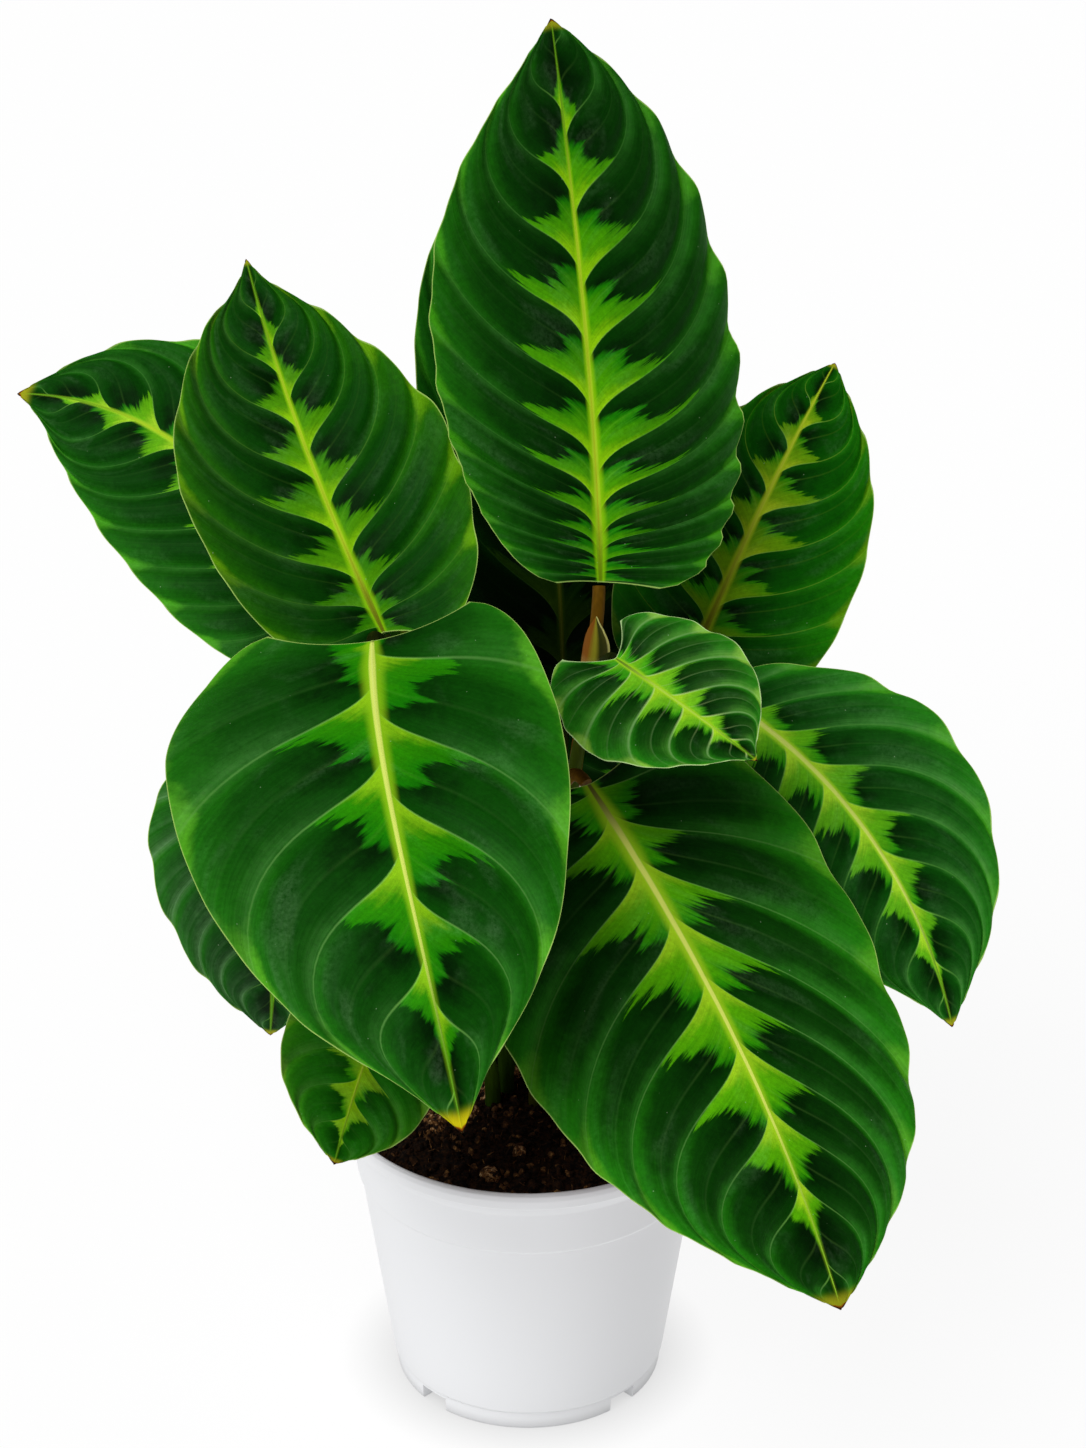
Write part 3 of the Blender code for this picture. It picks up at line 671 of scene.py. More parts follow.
def layOut(mesh, leaf, top, faceCount):
    # the bake's map: the top face on the left, the underside on the right, the rim just outside
    layer = mesh.uv_layers.new(name="OFBake")
    count = len(top)
    widest = max(leaf["left"], leaf["right"])
    flat = []
    for _, (_, reach, height), *_ in top:
        side = leaf["right"] if reach > 0 else leaf["left"]
        flat.append((reach * side / widest, height))
    low = min(v for _, v in flat)
    high = max(v for _, v in flat)
    for polygon in mesh.polygons:
        under = faceCount <= polygon.index < 2 * faceCount
        onRim = polygon.index >= 2 * faceCount
        for loop in polygon.loop_indices:
            vertex = mesh.loops[loop].vertex_index
            u, v = flat[vertex % count]
            u = 0.25 + 0.23 * u + (0.5 if under else 0.0)
            v = 0.02 + 0.96 * (v - low) / (high - low)
            if onRim and vertex >= count:
                u += 0.004 if u > 0.25 else -0.004
            layer.data[loop].uv = (u, v)


# What each blade's paint is made of. Reach is how far the light flames run out on the left and the
# right, as a share of the half width, and depth how much of each space between main veins they
# fill. The lamina's colours run from dark beside the midrib to edge, a flame's from bright at its
# vein to deep at its torn edge, which soft blurs. Up to wake, as a share of the blade's length,
# flames and midrib stay dull, partly their own browner colour and partly painted shade. Foot is
# painted shade at the base: the brightness there and how far up it takes to pass.
# Glow is how many midrib half widths the light tissue beside the midrib reaches. Vein widths are
# shares of their spacing, lesser is the strength of the thin vein between two main ones, and a
# pair of shares gives how much pale painted sheen lies on the left and the right. Tip colours
# begin four tipLengths from the tip, as a share of the length. Specks and the patches of painted
# sheen are strengths.
commonLook = dict(dark="#031e02", body="#052e02", outer="#0c4a03", edge="#226c08",
                  bright="#94d00c", flame="#4ca004", deep="#1a7804", rib="#b0d428",
                  ribTip="#64a01c", ribLine="#c0dc50", ribFoot="#4c5c08", vein="#5c9c44",
                  veinGlow="#84c850", margin="#b0d46c", paintedSheen="#7cac6c", reach=(0.56, 0.6),
                  depth=1.0, wake=0.05, tipLength=0.006, tipStart="#5c9014", tip="#a0a41c",
                  tipBrown="#94500c", tipPoint="#341808", veinShow=0.4, veinWidth=0.02,
                  lesser=0.16, glow=2.8, soft=0.045, foot=(1.0, 0.1), roughness=0.5,
                  specular=0.03, seed=1.0, sheenAmount=(0.08, 0.08), specks=0.4, speck="#c4dcb4",
                  sheenSpots=0.07, sheenSpot="#94bc8c")

looks = {
    "top": dict(seed=1.0, body="#063602", outer="#165c07", edge="#3c9010", reach=(0.62, 0.64),
                ribLine="#b8941c", ribFoot="#5c8404", wake=0.16),
    "upperLeft": dict(seed=2.0, body="#0a4204", outer="#206404", edge="#609c08", flame="#509808",
                      deep="#307c04", reach=(0.46, 0.46), sheenAmount=(0.14, 0.02),
                      ribLine="#a8841c", ribFoot="#5c5c0c", vein="#6ca038",
                      wake=0.25),
    "farLeft": dict(seed=3.0, body="#083f04", outer="#19620b", edge="#46a018", reach=(0.5, 0.5),
                    bright="#a8d82c", flame="#64b010", tipLength=0.012),
    "frontLeft": dict(seed=4.0, reach=(0.72, 0.56), body="#0b4705", outer="#1a680b",
                      edge="#50a41c", bright="#94cc18", flame="#2c8c04", deep="#167804",
                      rib="#e0f06c", ribLine="#f0f890", tipLength=0.012, tip="#d4c814",
                      sheenAmount=(0.07, 0.16), sheenSpots=0.12, wake=0.01, lesser=0.08, glow=4.6,
                      veinShow=0.65, vein="#78b45c"),
    "young": dict(seed=5.0, reach=(0.5, 0.6), depth=1.4, soft=0.1, body="#063e04",
                  outer="#20780f", edge="#88c040", bright="#a8d824", flame="#74c01c",
                  deep="#3ca014", rib="#b4dc48", vein="#9ccc80", veinGlow="#c0e084", paintedSheen="#84b858",
                  veinShow=0.65, veinWidth=0.05, lesser=0.35, glow=3.6, margin="#c8e8a0",
                  sheenAmount=(0.36, 0.26), ribFoot="#486c10", wake=0.35),
    "frontRight": dict(seed=6.0, reach=(0.46, 0.5), depth=1.25, body="#0a3e04",
                       outer="#207a0c", edge="#50a41a", bright="#b0e024", flame="#5cb408",
                       deep="#2c9006", rib="#ecfa70", ribLine="#f0fc80", ribFoot="#3c3408",
                       wake=0.15, ribTip="#98cc30", sheenAmount=(0.1, 0.1), tipLength=0.009,
                       glow=4.6, veinShow=0.6, vein="#78b45c"),
    "right": dict(seed=7.0, reach=(0.46, 0.46), depth=1.45, body="#0b4808", outer="#1e7410",
                  edge="#409818", bright="#b0e02c", flame="#60b014", deep="#2c8c0c",
                  rib="#d0e464", ribLine="#e0ec80", veinShow=0.6, veinWidth=0.03,
                  sheenAmount=(0.22, 0.22), tipLength=0.007),
    "upperRight": dict(seed=8.0, reach=(0.5, 0.55), body="#0a5002", outer="#1c7404",
                       edge="#569008", bright="#b0cc20", flame="#6ca00c", deep="#2c8804",
                       rib="#b8cc30", ribTip="#b4cc2c", ribLine="#94901c", ribFoot="#6c6408",
                       vein="#84b034", veinShow=0.7, sheenAmount=(0.03, 0.03), wake=0.5,
                       foot=(0.35, 0.3)),
    "lowLeft": dict(seed=9.0, reach=(0.15, 0.15), roughness=0.42, specular=0.04, sheenAmount=(0.4, 0.4),
                    paintedSheen="#8cc084", body="#083c06", outer="#165c0a", rib="#3c7c14",
                    ribTip="#5c9c1c", ribLine="#3c7c14", tipLength=0.01),
    "smallLow": dict(seed=10.0, reach=(0.55, 0.5), depth=1.2, dark="#0c4804",
                     body="#1c700a", outer="#348810", edge="#60a418", flame="#8ccc20",
                     deep="#3c9c0c", rib="#acd430", sheenAmount=(0.15, 0.15), tipLength=0.01),
    "shaded": dict(seed=11.0),
    # the leaf at the back, painted as if in shade: dimmer flames and midrib, a dark lower part
    "behind": dict(seed=12.0, outer="#125408", edge="#2c7c10", bright="#5c8c10",
                   flame="#3c6c08", deep="#145004", rib="#8ca41c", sheenAmount=(0.0, 0.0),
                   foot=(0.1, 0.75)),
}


def laminaMaterial(name, look):
    # a calathea's upper leaf skin: thin, nearly black-green between flames of light tissue that
    # start sharply at each main vein and end in torn streaks; thin pale veins, a pale rim
    material, tree, shader = startMaterial(name, {
        "Roughness": look["roughness"], "Specular IOR Level": look["specular"], "IOR": 1.45})
    leafSpot = addNode(tree, "ShaderNodeAttribute", attribute_name="leaf").outputs["Vector"]
    nearSpot = addNode(tree, "ShaderNodeAttribute", attribute_name="near").outputs["Vector"]
    place = addNode(tree, "ShaderNodeTexCoord").outputs["Object"]
    where = addNode(tree, "ShaderNodeSeparateXYZ", {0: leafSpot})
    phase, reach, height = where.outputs["X"], where.outputs["Y"], where.outputs["Z"]
    near = addNode(tree, "ShaderNodeSeparateXYZ", {0: nearSpot})
    ribs, toEdge, out = near.outputs["X"], near.outputs["Y"], near.outputs["Z"]
    seeded = addNode(tree, "ShaderNodeVectorMath", {0: leafSpot, 1: (0, 0, 7.3 * look["seed"])},
                     operation='ADD')

    # how far along each vein's interval, which interval, and which side of the midrib
    along = addNode(tree, "ShaderNodeMath", {0: phase}, operation='FRACT')
    toVein = addNode(tree, "ShaderNodeMath", {0: phase, 1: 0.5}, operation='PINGPONG')
    which = addNode(tree, "ShaderNodeMath", {0: phase}, operation='FLOOR')
    onRight = addNode(tree, "ShaderNodeMath", {0: reach, 1: 0.0}, operation='GREATER_THAN')
    which = addNode(tree, "ShaderNodeMath", {0: onRight, 1: 31.0, 2: which},
                    operation='MULTIPLY_ADD')
    which = addNode(tree, "ShaderNodeMath", {0: which, 1: look["seed"] * 17.0}, operation='ADD')
    luck = addNode(tree, "ShaderNodeTexWhiteNoise", {"W": which}, noise_dimensions='1D')
    luck = addNode(tree, "ShaderNodeMapRange", {"Value": luck, "To Min": 0.8, "To Max": 1.1})
    sideReach = addNode(tree, "ShaderNodeMapRange", {
        "Value": onRight, "To Min": look["reach"][0], "To Max": look["reach"][1]})

    # the flames' torn ends: streaks that run with the veins
    tearAt = addNode(tree, "ShaderNodeVectorMath", {0: seeded, 1: (13, 2.6, 1)},
                     operation='MULTIPLY')
    tear = addNode(tree, "ShaderNodeTexNoise",
                   {"Vector": tearAt, "Scale": 1.0, "Detail": 5.0, "Roughness": 0.65})
    tear = addNode(tree, "ShaderNodeMapRange",
                   {"Value": tear, "From Min": 0.3, "From Max": 0.7, "To Min": 0.68, "To Max": 1.3})
    deeper = addNode(tree, "ShaderNodeMath", {0: along, 1: look["depth"]}, operation='DIVIDE')
    profile = addNode(tree, "ShaderNodeFloatCurve", {"Value": deeper}, points=[
        (0.0, 1.0), (0.06, 0.94), (0.14, 0.78), (0.26, 0.6), (0.4, 0.4), (0.5, 0.38),
        (0.58, 0.46), (0.66, 0.32), (0.8, 0.16), (0.92, 0.05), (1.0, 0.0)])
    envelope = addNode(tree, "ShaderNodeFloatCurve", {"Value": height}, points=[
        (0.0, 0.7), (0.1, 0.9), (0.25, 1.0), (0.4, 0.92), (0.55, 0.82), (0.7, 0.66),
        (0.8, 0.48), (0.88, 0.22), (0.93, 0.0), (1.0, 0.0)])
    extent = profile
    for factor in (tear, envelope, luck, sideReach):
        extent = addNode(tree, "ShaderNodeMath", {0: extent, 1: factor}, operation='MULTIPLY')
    inside = addNode(tree, "ShaderNodeMath", {0: extent, 1: out}, operation='SUBTRACT')
    flame = addNode(tree, "ShaderNodeMapRange",
                    {"Value": inside, "From Min": -0.33 * look["soft"], "From Max": look["soft"]},
                    interpolation_type='SMOOTHSTEP')

    # lamina: darkest beside the midrib and midway between the veins, greener outwards, mottled,
    # with a band of painted light beside each vein for the relief and the light through the skin
    mottle = addNode(tree, "ShaderNodeTexNoise",
                     {"Vector": place, "Scale": 1 / (7 * mm), "Detail": 5.0, "Roughness": 0.65})
    spread = addNode(tree, "ShaderNodeFloatCurve", {"Value": out}, points=[
        (0.0, 0.0), (0.3, 0.16), (0.7, 0.38), (0.88, 0.52), (1.0, 0.74)])
    spread = addNode(tree, "ShaderNodeMath", {0: mottle, 1: 0.24, 2: spread},
                     operation='MULTIPLY_ADD')
    veinSideLight = addNode(tree, "ShaderNodeMapRange",
                     {"Value": toVein, "From Max": 0.32, "To Min": 0.22, "To Max": 0.0},
                     interpolation_type='SMOOTHSTEP')
    spread = addNode(tree, "ShaderNodeMath", {0: spread, 1: veinSideLight}, operation='ADD')
    lamina = addNode(tree, "ShaderNodeValToRGB", {"Fac": spread}, stops=[
        (0.15, look["dark"]), (0.42, look["body"]), (0.78, look["outer"]), (1.0, look["edge"])])
    torn = addNode(tree, "ShaderNodeMath", {0: out, 1: extent}, operation='DIVIDE')
    flameSpot = addNode(tree, "ShaderNodeMath", {0: deeper, 1: 0.6}, operation='MULTIPLY')
    flameSpot = addNode(tree, "ShaderNodeMath", {0: torn, 1: 0.5, 2: flameSpot},
                        operation='MULTIPLY_ADD')
    flameSpot = addNode(tree, "ShaderNodeMath", {0: mottle, 1: 0.22, 2: flameSpot},
                        operation='MULTIPLY_ADD')
    # near the base the flames turn deeper: partly the blade's own colour, partly painted shade
    awake = addNode(tree, "ShaderNodeMapRange",
                    {"Value": height, "From Max": look["wake"], "To Min": 0.3, "To Max": 0.0},
                    interpolation_type='SMOOTHSTEP')
    flameSpot = addNode(tree, "ShaderNodeMath", {0: flameSpot, 1: awake}, operation='ADD')
    flamePaint = addNode(tree, "ShaderNodeValToRGB", {"Fac": flameSpot}, stops=[
        (0.14, look["bright"]), (0.46, look["flame"]), (0.9, look["deep"])])
    paint = addNode(tree, "ShaderNodeMix", {"Factor": flame, "A": lamina, "B": flamePaint},
                    data_type='RGBA')

    # fine side veins: faint streaks about a millimetre apart
    streakAt = addNode(tree, "ShaderNodeVectorMath", {0: seeded, 1: (38, 2.4, 1)},
                       operation='MULTIPLY')
    streaks = addNode(tree, "ShaderNodeTexNoise",
                      {"Vector": streakAt, "Scale": 1.0, "Detail": 3.0, "Roughness": 0.55})
    shade = addNode(tree, "ShaderNodeMapRange", {"Value": streaks, "From Min": 0.3,
                                                 "From Max": 0.7, "To Min": 0.9, "To Max": 1.1})
    fine = addNode(tree, "ShaderNodeTexNoise",
                   {"Vector": place, "Scale": 1 / (1.5 * mm), "Detail": 4.0, "Roughness": 0.7})
    fineShade = addNode(tree, "ShaderNodeMapRange", {"Value": fine, "From Min": 0.3,
                                                     "From Max": 0.7, "To Min": 0.84,
                                                     "To Max": 1.16})
    shade = addNode(tree, "ShaderNodeMath", {0: shade, 1: fineShade}, operation='MULTIPLY')
    paint = addNode(tree, "ShaderNodeVectorMath", {0: paint, "Scale": shade}, operation='SCALE')

    # from here on each thing seen on the skin is a coat: how much it covers, and its colour
    coats = []

    # painted sheen: faint pale patches of painted highlight on the skin
    patch = addNode(tree, "ShaderNodeTexNoise",
                    {"Vector": seeded, "Scale": 2.3, "Detail": 2.0, "Distortion": 0.6})
    patch = addNode(tree, "ShaderNodeMapRange",
                    {"Value": patch, "From Min": 0.5, "From Max": 0.72, "To Max": look["sheenSpots"]},
                    interpolation_type='SMOOTHSTEP')
    broken = addNode(tree, "ShaderNodeMapRange",
                     {"Value": fine, "From Min": 0.3, "From Max": 0.75})
    sheenSpot = addNode(tree, "ShaderNodeMath", {0: patch, 1: broken}, operation='MULTIPLY')
    coats.append((sheenSpot, colour(look["sheenSpot"])))

    # painted sheen: a silvery painted highlight along the base side of each main vein, brushed along
    # the veins
    paintedSheen = addNode(tree, "ShaderNodeFloatCurve", {"Value": along}, points=[
        (0.0, 0.5), (0.1, 0.05), (0.4, 0.1), (0.55, 0.25), (0.6, 0.05), (0.8, 0.2), (0.96, 1.0),
        (1.0, 0.5)])
    sheenAmount = addNode(tree, "ShaderNodeMapRange", {
        "Value": onRight, "To Min": 3.2 * look["sheenAmount"][0], "To Max": 3.2 * look["sheenAmount"][1]})
    sheenOut = addNode(tree, "ShaderNodeMapRange",
                       {"Value": out, "From Min": 0.15, "From Max": 0.7, "To Max": sheenAmount})
    for factor in (sheenOut, mottle, streaks):
        paintedSheen = addNode(tree, "ShaderNodeMath", {0: paintedSheen, 1: factor}, operation='MULTIPLY')
    coats.append((paintedSheen, colour(look["paintedSheen"])))

    # main veins and one lesser vein between them as thin pale lines, brightest by the midrib
    lesser = addNode(tree, "ShaderNodeFloatCurve", {"Value": along}, points=[
        (0.0, 0.0), (0.54, 0.0), (0.57, look["lesser"]), (0.6, 0.0), (1.0, 0.0)])
    line = addNode(tree, "ShaderNodeMapRange",
                   {"Value": toVein, "From Max": look["veinWidth"], "To Min": 1.0,
                    "To Max": 0.0}, interpolation_type='SMOOTHSTEP')
    line = addNode(tree, "ShaderNodeMath", {0: line, 1: lesser}, operation='MAXIMUM')
    fade = addNode(tree, "ShaderNodeFloatCurve", {"Value": out}, points=[
        (0.0, 1.0), (0.35, 0.7), (0.6, 0.55), (1.0, 0.3)])
    fade = addNode(tree, "ShaderNodeMath", {0: fade, 1: look["veinShow"]}, operation='MULTIPLY')
    line = addNode(tree, "ShaderNodeMath", {0: line, 1: fade}, operation='MULTIPLY')
    veinPaint = addNode(tree, "ShaderNodeValToRGB", {"Fac": out}, stops=[
        (0.05, look["veinGlow"]), (0.45, look["vein"])])
    coats.append((line, veinPaint))

    # midrib, with a glow of light tissue on both sides and a browner line along its groove
    glow = addNode(tree, "ShaderNodeMapRange",
                   {"Value": ribs, "From Min": 1.0, "From Max": look["glow"], "To Min": 0.8,
                    "To Max": 0.0},
                   interpolation_type='SMOOTHSTEP')
    tipwards = addNode(tree, "ShaderNodeMapRange", {
        "Value": height, "From Min": 0.6, "From Max": 0.95, "To Min": 1.0, "To Max": 0.2})
    glow = addNode(tree, "ShaderNodeMath", {0: glow, 1: tipwards}, operation='MULTIPLY')
    coats.append((glow, colour(look["bright"])))
    onRib = addNode(tree, "ShaderNodeMapRange",
                    {"Value": ribs, "From Min": 0.6, "From Max": 1.25, "To Min": 1.0,
                     "To Max": 0.0}, interpolation_type='SMOOTHSTEP')
    ribPaint = addNode(tree, "ShaderNodeValToRGB", {"Fac": height}, stops=[
        (0.0, look["rib"]), (0.6, look["rib"]), (0.9, look["ribTip"])])
    groove = addNode(tree, "ShaderNodeMapRange", {
        "Value": ribs, "From Min": 0.05, "From Max": 0.35, "To Min": 0.45, "To Max": 0.0},
        interpolation_type='SMOOTHSTEP')
    lower = addNode(tree, "ShaderNodeMapRange", {
        "Value": height, "From Min": 0.1, "From Max": 0.55, "To Min": 1.0, "To Max": 0.1})
    groove = addNode(tree, "ShaderNodeMath", {0: groove, 1: lower}, operation='MULTIPLY')
    ribPaint = addNode(tree, "ShaderNodeMix", {
        "Factor": groove, "A": ribPaint, "B": colour(look["ribLine"])}, data_type='RGBA')
    # the midrib's dull foot: partly its own browner colour, partly painted shade
    dim = addNode(tree, "ShaderNodeMapRange",
                  {"Value": height, "From Max": look["wake"], "To Min": 0.85, "To Max": 0.0},
                  interpolation_type='SMOOTHSTEP')
    ribPaint = addNode(tree, "ShaderNodeMix", {
        "Factor": dim, "A": ribPaint, "B": colour(look["ribFoot"])}, data_type='RGBA')
    coats.append((onRib, ribPaint))

    # margin: a thin pale line that fades towards the tip, which yellows to a brown point
    rim = addNode(tree, "ShaderNodeMapRange",
                  {"Value": toEdge, "From Min": 0.05, "From Max": 0.42, "To Min": 0.85,
                   "To Max": 0.0}, interpolation_type='SMOOTHSTEP')
    away = addNode(tree, "ShaderNodeMapRange",
                   {"Value": height, "From Min": 0.9, "From Max": 0.98, "To Min": 1.0,
                    "To Max": 0.0}, interpolation_type='SMOOTHSTEP')
    rim = addNode(tree, "ShaderNodeMath", {0: rim, 1: away}, operation='MULTIPLY')
    coats.append((rim, colour(look["margin"])))
    tipSpot = addNode(tree, "ShaderNodeMath", {0: out, 1: 0.5 * look["tipLength"], 2: height},
                      operation='MULTIPLY_ADD')
    tipSpot = addNode(tree, "ShaderNodeMapRange", {
        "Value": tipSpot, "From Min": 1.0 - 4.0 * look["tipLength"], "From Max": 1.0})
    tipPaint = addNode(tree, "ShaderNodeValToRGB", {"Fac": tipSpot}, stops=[
        (0.05, look["tipStart"]), (0.5, look["tip"]), (0.8, look["tip"]),
        (0.89, look["tipBrown"]), (0.96, look["tipPoint"])])
    yellowing = addNode(tree, "ShaderNodeMapRange", {"Value": tipSpot, "From Max": 0.75},
                        interpolation_type='SMOOTHSTEP')
    coats.append((yellowing, tipPaint))

    # a few fine pale specks
    dots = addNode(tree, "ShaderNodeTexVoronoi", {"Vector": place, "Scale": 1 / (2.4 * mm)})
    few = addNode(tree, "ShaderNodeSeparateXYZ", {0: dots.outputs["Color"]})
    few = addNode(tree, "ShaderNodeMath", {0: few, 1: 0.95}, operation='GREATER_THAN')
    speck = addNode(tree, "ShaderNodeMapRange", {
        "Value": dots.outputs["Distance"], "From Min": 0.04, "From Max": 0.1,
        "To Min": look["specks"], "To Max": 0.0})
    speck = addNode(tree, "ShaderNodeMath", {0: speck, 1: few}, operation='MULTIPLY')
    coats.append((speck, colour(look["speck"])))
    for cover, coat in coats:
        paint = addNode(tree, "ShaderNodeMix", {"Factor": cover, "A": paint, "B": coat},
                        data_type='RGBA')

    # painted shade: the foot of a blade that others shade is painted darker
    paintedFootShade = addNode(tree, "ShaderNodeMapRange", {
        "Value": height, "From Max": look["foot"][1], "To Min": look["foot"][0], "To Max": 1.0},
        interpolation_type='SMOOTHSTEP')
    paint = addNode(tree, "ShaderNodeVectorMath", {0: paint, "Scale": paintedFootShade}, operation='SCALE')

    # relief: the streaks and a fine grain, with the veins sunk in
    grain = addNode(tree, "ShaderNodeTexNoise",
                    {"Vector": place, "Scale": 1 / (0.9 * mm), "Detail": 2.0})
    relief = addNode(tree, "ShaderNodeMath", {0: grain, 1: 0.25, 2: streaks},
                     operation='MULTIPLY_ADD')
    relief = addNode(tree, "ShaderNodeMath", {0: line, 1: -0.5, 2: relief},
                     operation='MULTIPLY_ADD')
    bump = addNode(tree, "ShaderNodeBump",
                   {"Height": relief, "Strength": 0.4, "Distance": 0.3 * mm})
    endMaterial(tree, shader, paint, bump)
    return material


# Undersides, the same on every leaf
underside = {"dark": "#35101a", "wine": "#4a1420", "red": "#5c2230", "vein": "#6a3a3a",
             "green": "#34501e", "rib": "#6f7a34"}


def undersideMaterial():
    # the lower skin: wine-red and duller, greener by the midrib and the margin
    material, tree, shader = startMaterial("calathea_leaf_underside", {
        "Roughness": 0.6, "Specular IOR Level": 0.25, "IOR": 1.45})
    leafSpot = addNode(tree, "ShaderNodeAttribute", attribute_name="leaf").outputs["Vector"]
    nearSpot = addNode(tree, "ShaderNodeAttribute", attribute_name="near").outputs["Vector"]
    near = addNode(tree, "ShaderNodeSeparateXYZ", {0: nearSpot})
    where = addNode(tree, "ShaderNodeSeparateXYZ", {0: leafSpot})
    toVein = addNode(tree, "ShaderNodeMath", {0: where.outputs["X"], 1: 0.5},
                     operation='PINGPONG')
    streakAt = addNode(tree, "ShaderNodeVectorMath", {0: leafSpot, 1: (30, 2, 1)},
                       operation='MULTIPLY')
    streaks = addNode(tree, "ShaderNodeTexNoise",
                      {"Vector": streakAt, "Scale": 1.0, "Detail": 3.0, "Roughness": 0.6})
    skin = addNode(tree, "ShaderNodeValToRGB", {"Fac": streaks}, stops=[
        (0.25, underside["dark"]), (0.55, underside["wine"]), (0.85, underside["red"])])
    line = addNode(tree, "ShaderNodeMapRange",
                   {"Value": toVein, "From Max": 0.03, "To Min": 0.5, "To Max": 0.0})
    onRib = addNode(tree, "ShaderNodeMapRange",
                    {"Value": near.outputs["X"], "From Min": 0.8, "From Max": 1.5, "To Min": 1.0,
                     "To Max": 0.0}, interpolation_type='SMOOTHSTEP')
    rim = addNode(tree, "ShaderNodeMapRange",
                  {"Value": near.outputs["Y"], "From Min": 0.4, "From Max": 2.5, "To Min": 0.7,
                   "To Max": 0.0}, interpolation_type='SMOOTHSTEP')
    for cover, name in ((line, "vein"), (onRib, "rib"), (rim, "green")):
        skin = addNode(tree, "ShaderNodeMix",
                       {"Factor": cover, "A": skin, "B": colour(underside[name])},
                       data_type='RGBA')
    bump = addNode(tree, "ShaderNodeBump",
                   {"Height": streaks, "Strength": 0.5, "Distance": 0.3 * mm})
    endMaterial(tree, shader, skin, bump)
    return material


# Stalks: slim round petioles with a slightly swollen joint below the blade. Millimetres. Crown is
# the middle of the ring that they grow from, and depth how far they go into the soil.
stalk = {
    "points": 33, "footRadius": 3.0, "topRadius": 2.2, "depth": 16.0, "swelling": 0.06,
    "sides": 16, "crown": (2.0, 18.0),
}

stalkLooks = {
    "brown": dict(foot="#3c480c", middle="#84500c", top="#5c3c06", joint="#5c4008"),
    "green": dict(foot="#2c480a", middle="#3c5a0c", top="#3c4c0a", joint="#1c2406"),
}


def stalkMaterial(name, look):
    # petiole skin: smooth and slightly waxy, green where it leaves the soil, browner upwards
    material, tree, shader = startMaterial(name, {
        "Roughness": 0.5, "Specular IOR Level": 0.03, "IOR": 1.45})
    rise = addNode(tree, "ShaderNodeAttribute", attribute_name="rise")
    place = addNode(tree, "ShaderNodeTexCoord")
    streakAt = addNode(tree, "ShaderNodeVectorMath",
                       {0: place.outputs["Object"], 1: (1.0, 1.0, 0.08)}, operation='MULTIPLY')
    streaks = addNode(tree, "ShaderNodeTexNoise",
                      {"Vector": streakAt, "Scale": 1 / (1.2 * mm), "Detail": 3.0})
    spread = addNode(tree, "ShaderNodeMath",
                     {0: streaks, 1: 0.12, 2: rise.outputs["Fac"]}, operation='MULTIPLY_ADD')
    paint = addNode(tree, "ShaderNodeValToRGB", {"Fac": spread}, stops=[
        (0.1, look["foot"]), (0.45, look["middle"]), (0.92, look["top"]), (1.0, look["joint"])])
    shade = addNode(tree, "ShaderNodeMapRange", {"Value": streaks, "From Min": 0.3,
                                                 "From Max": 0.7, "To Min": 0.8, "To Max": 1.2})
    paint = addNode(tree, "ShaderNodeVectorMath", {0: paint.outputs["Color"], "Scale": shade},
                    operation='SCALE')
    bump = addNode(tree, "ShaderNodeBump",
                   {"Height": streaks, "Strength": 0.3, "Distance": 0.2 * mm})
    endMaterial(tree, shader, paint, bump)
    return material


def stalkTree():
    # sweeps a circle along the stalk's path, narrowing upwards to a swollen joint
    tree, given = startTree("petiole", ("foot radius", "top radius", "swelling"), ("sides",))
    rise = addNode(tree, "GeometryNodeSplineParameter").outputs["Factor"]
    slim = addNode(tree, "ShaderNodeMapRange", {"Value": rise, "To Min": given["foot radius"],
                                                "To Max": given["top radius"]})
    joint = addNode(tree, "ShaderNodeFloatCurve", {"Value": rise}, points=[
        (0.0, 0.0), (0.88, 0.0), (0.93, 0.8), (0.97, 1.0), (1.0, 0.3)])
    swell = addNode(tree, "ShaderNodeMath", {0: joint, 1: given["swelling"], 2: slim},
                    operation='MULTIPLY_ADD')
    sized = addNode(tree, "GeometryNodeSetCurveRadius",
                    {"Curve": given["Geometry"], "Radius": swell})
    marked = addNode(tree, "GeometryNodeStoreNamedAttribute",
                     {"Geometry": sized, "Name": "rise", "Value": rise}, data_type='FLOAT',
                     domain='POINT')
    ring = addNode(tree, "GeometryNodeCurvePrimitiveCircle",
                   {"Radius": 1.0, "Resolution": given["sides"]})
    swept = addNode(tree, "GeometryNodeCurveToMesh",
                    {"Curve": marked, "Profile Curve": ring, "Fill Caps": True,
                     "Scale": swell})
    smooth = addNode(tree, "GeometryNodeSetShadeSmooth", {"Geometry": swept})
    real = addNode(tree, "GeometryNodeRealizeInstances", {"Geometry": smooth})
    done = addNode(tree, "GeometryNodeSetMaterial",
                   {"Geometry": real, "Material": given["material"]})
    addNode(tree, "NodeGroupOutput", {"Geometry": done})
    return tree


def stalkPath(leaf, frames):
    # from below the soil, straight up, then over to the back edge of the blade
    distance, bearing = leaf["crown"]
    bearing = math.radians(bearing)
    foot = (Vector((*stalk["crown"], 0.0))
            + distance * Vector((math.sin(bearing), -math.cos(bearing), 0.0))) * mm
    ground = soilHeight(foot.x, foot.y)
    place, along, _, up = frames[0]
    top = place - along * leaf["seat"] * mm - up * 0.5 * stalk["topRadius"] * mm
    start = Vector((foot.x, foot.y, ground + 4 * mm))
    pullUp = start + Vector((0.0, 0.0, leaf["rise"] * (top.z - start.z)))
    pullBack = top - along * leaf["lead"] * mm
    points = [Vector((foot.x, foot.y, ground - stalk["depth"] * mm))]
    for i in range(stalk["points"]):
        t = i / (stalk["points"] - 1)
        points.append((1 - t) ** 3 * start + 3 * t * (1 - t) ** 2 * pullUp
                      + 3 * t * t * (1 - t) * pullBack + t ** 3 * top)
    return points


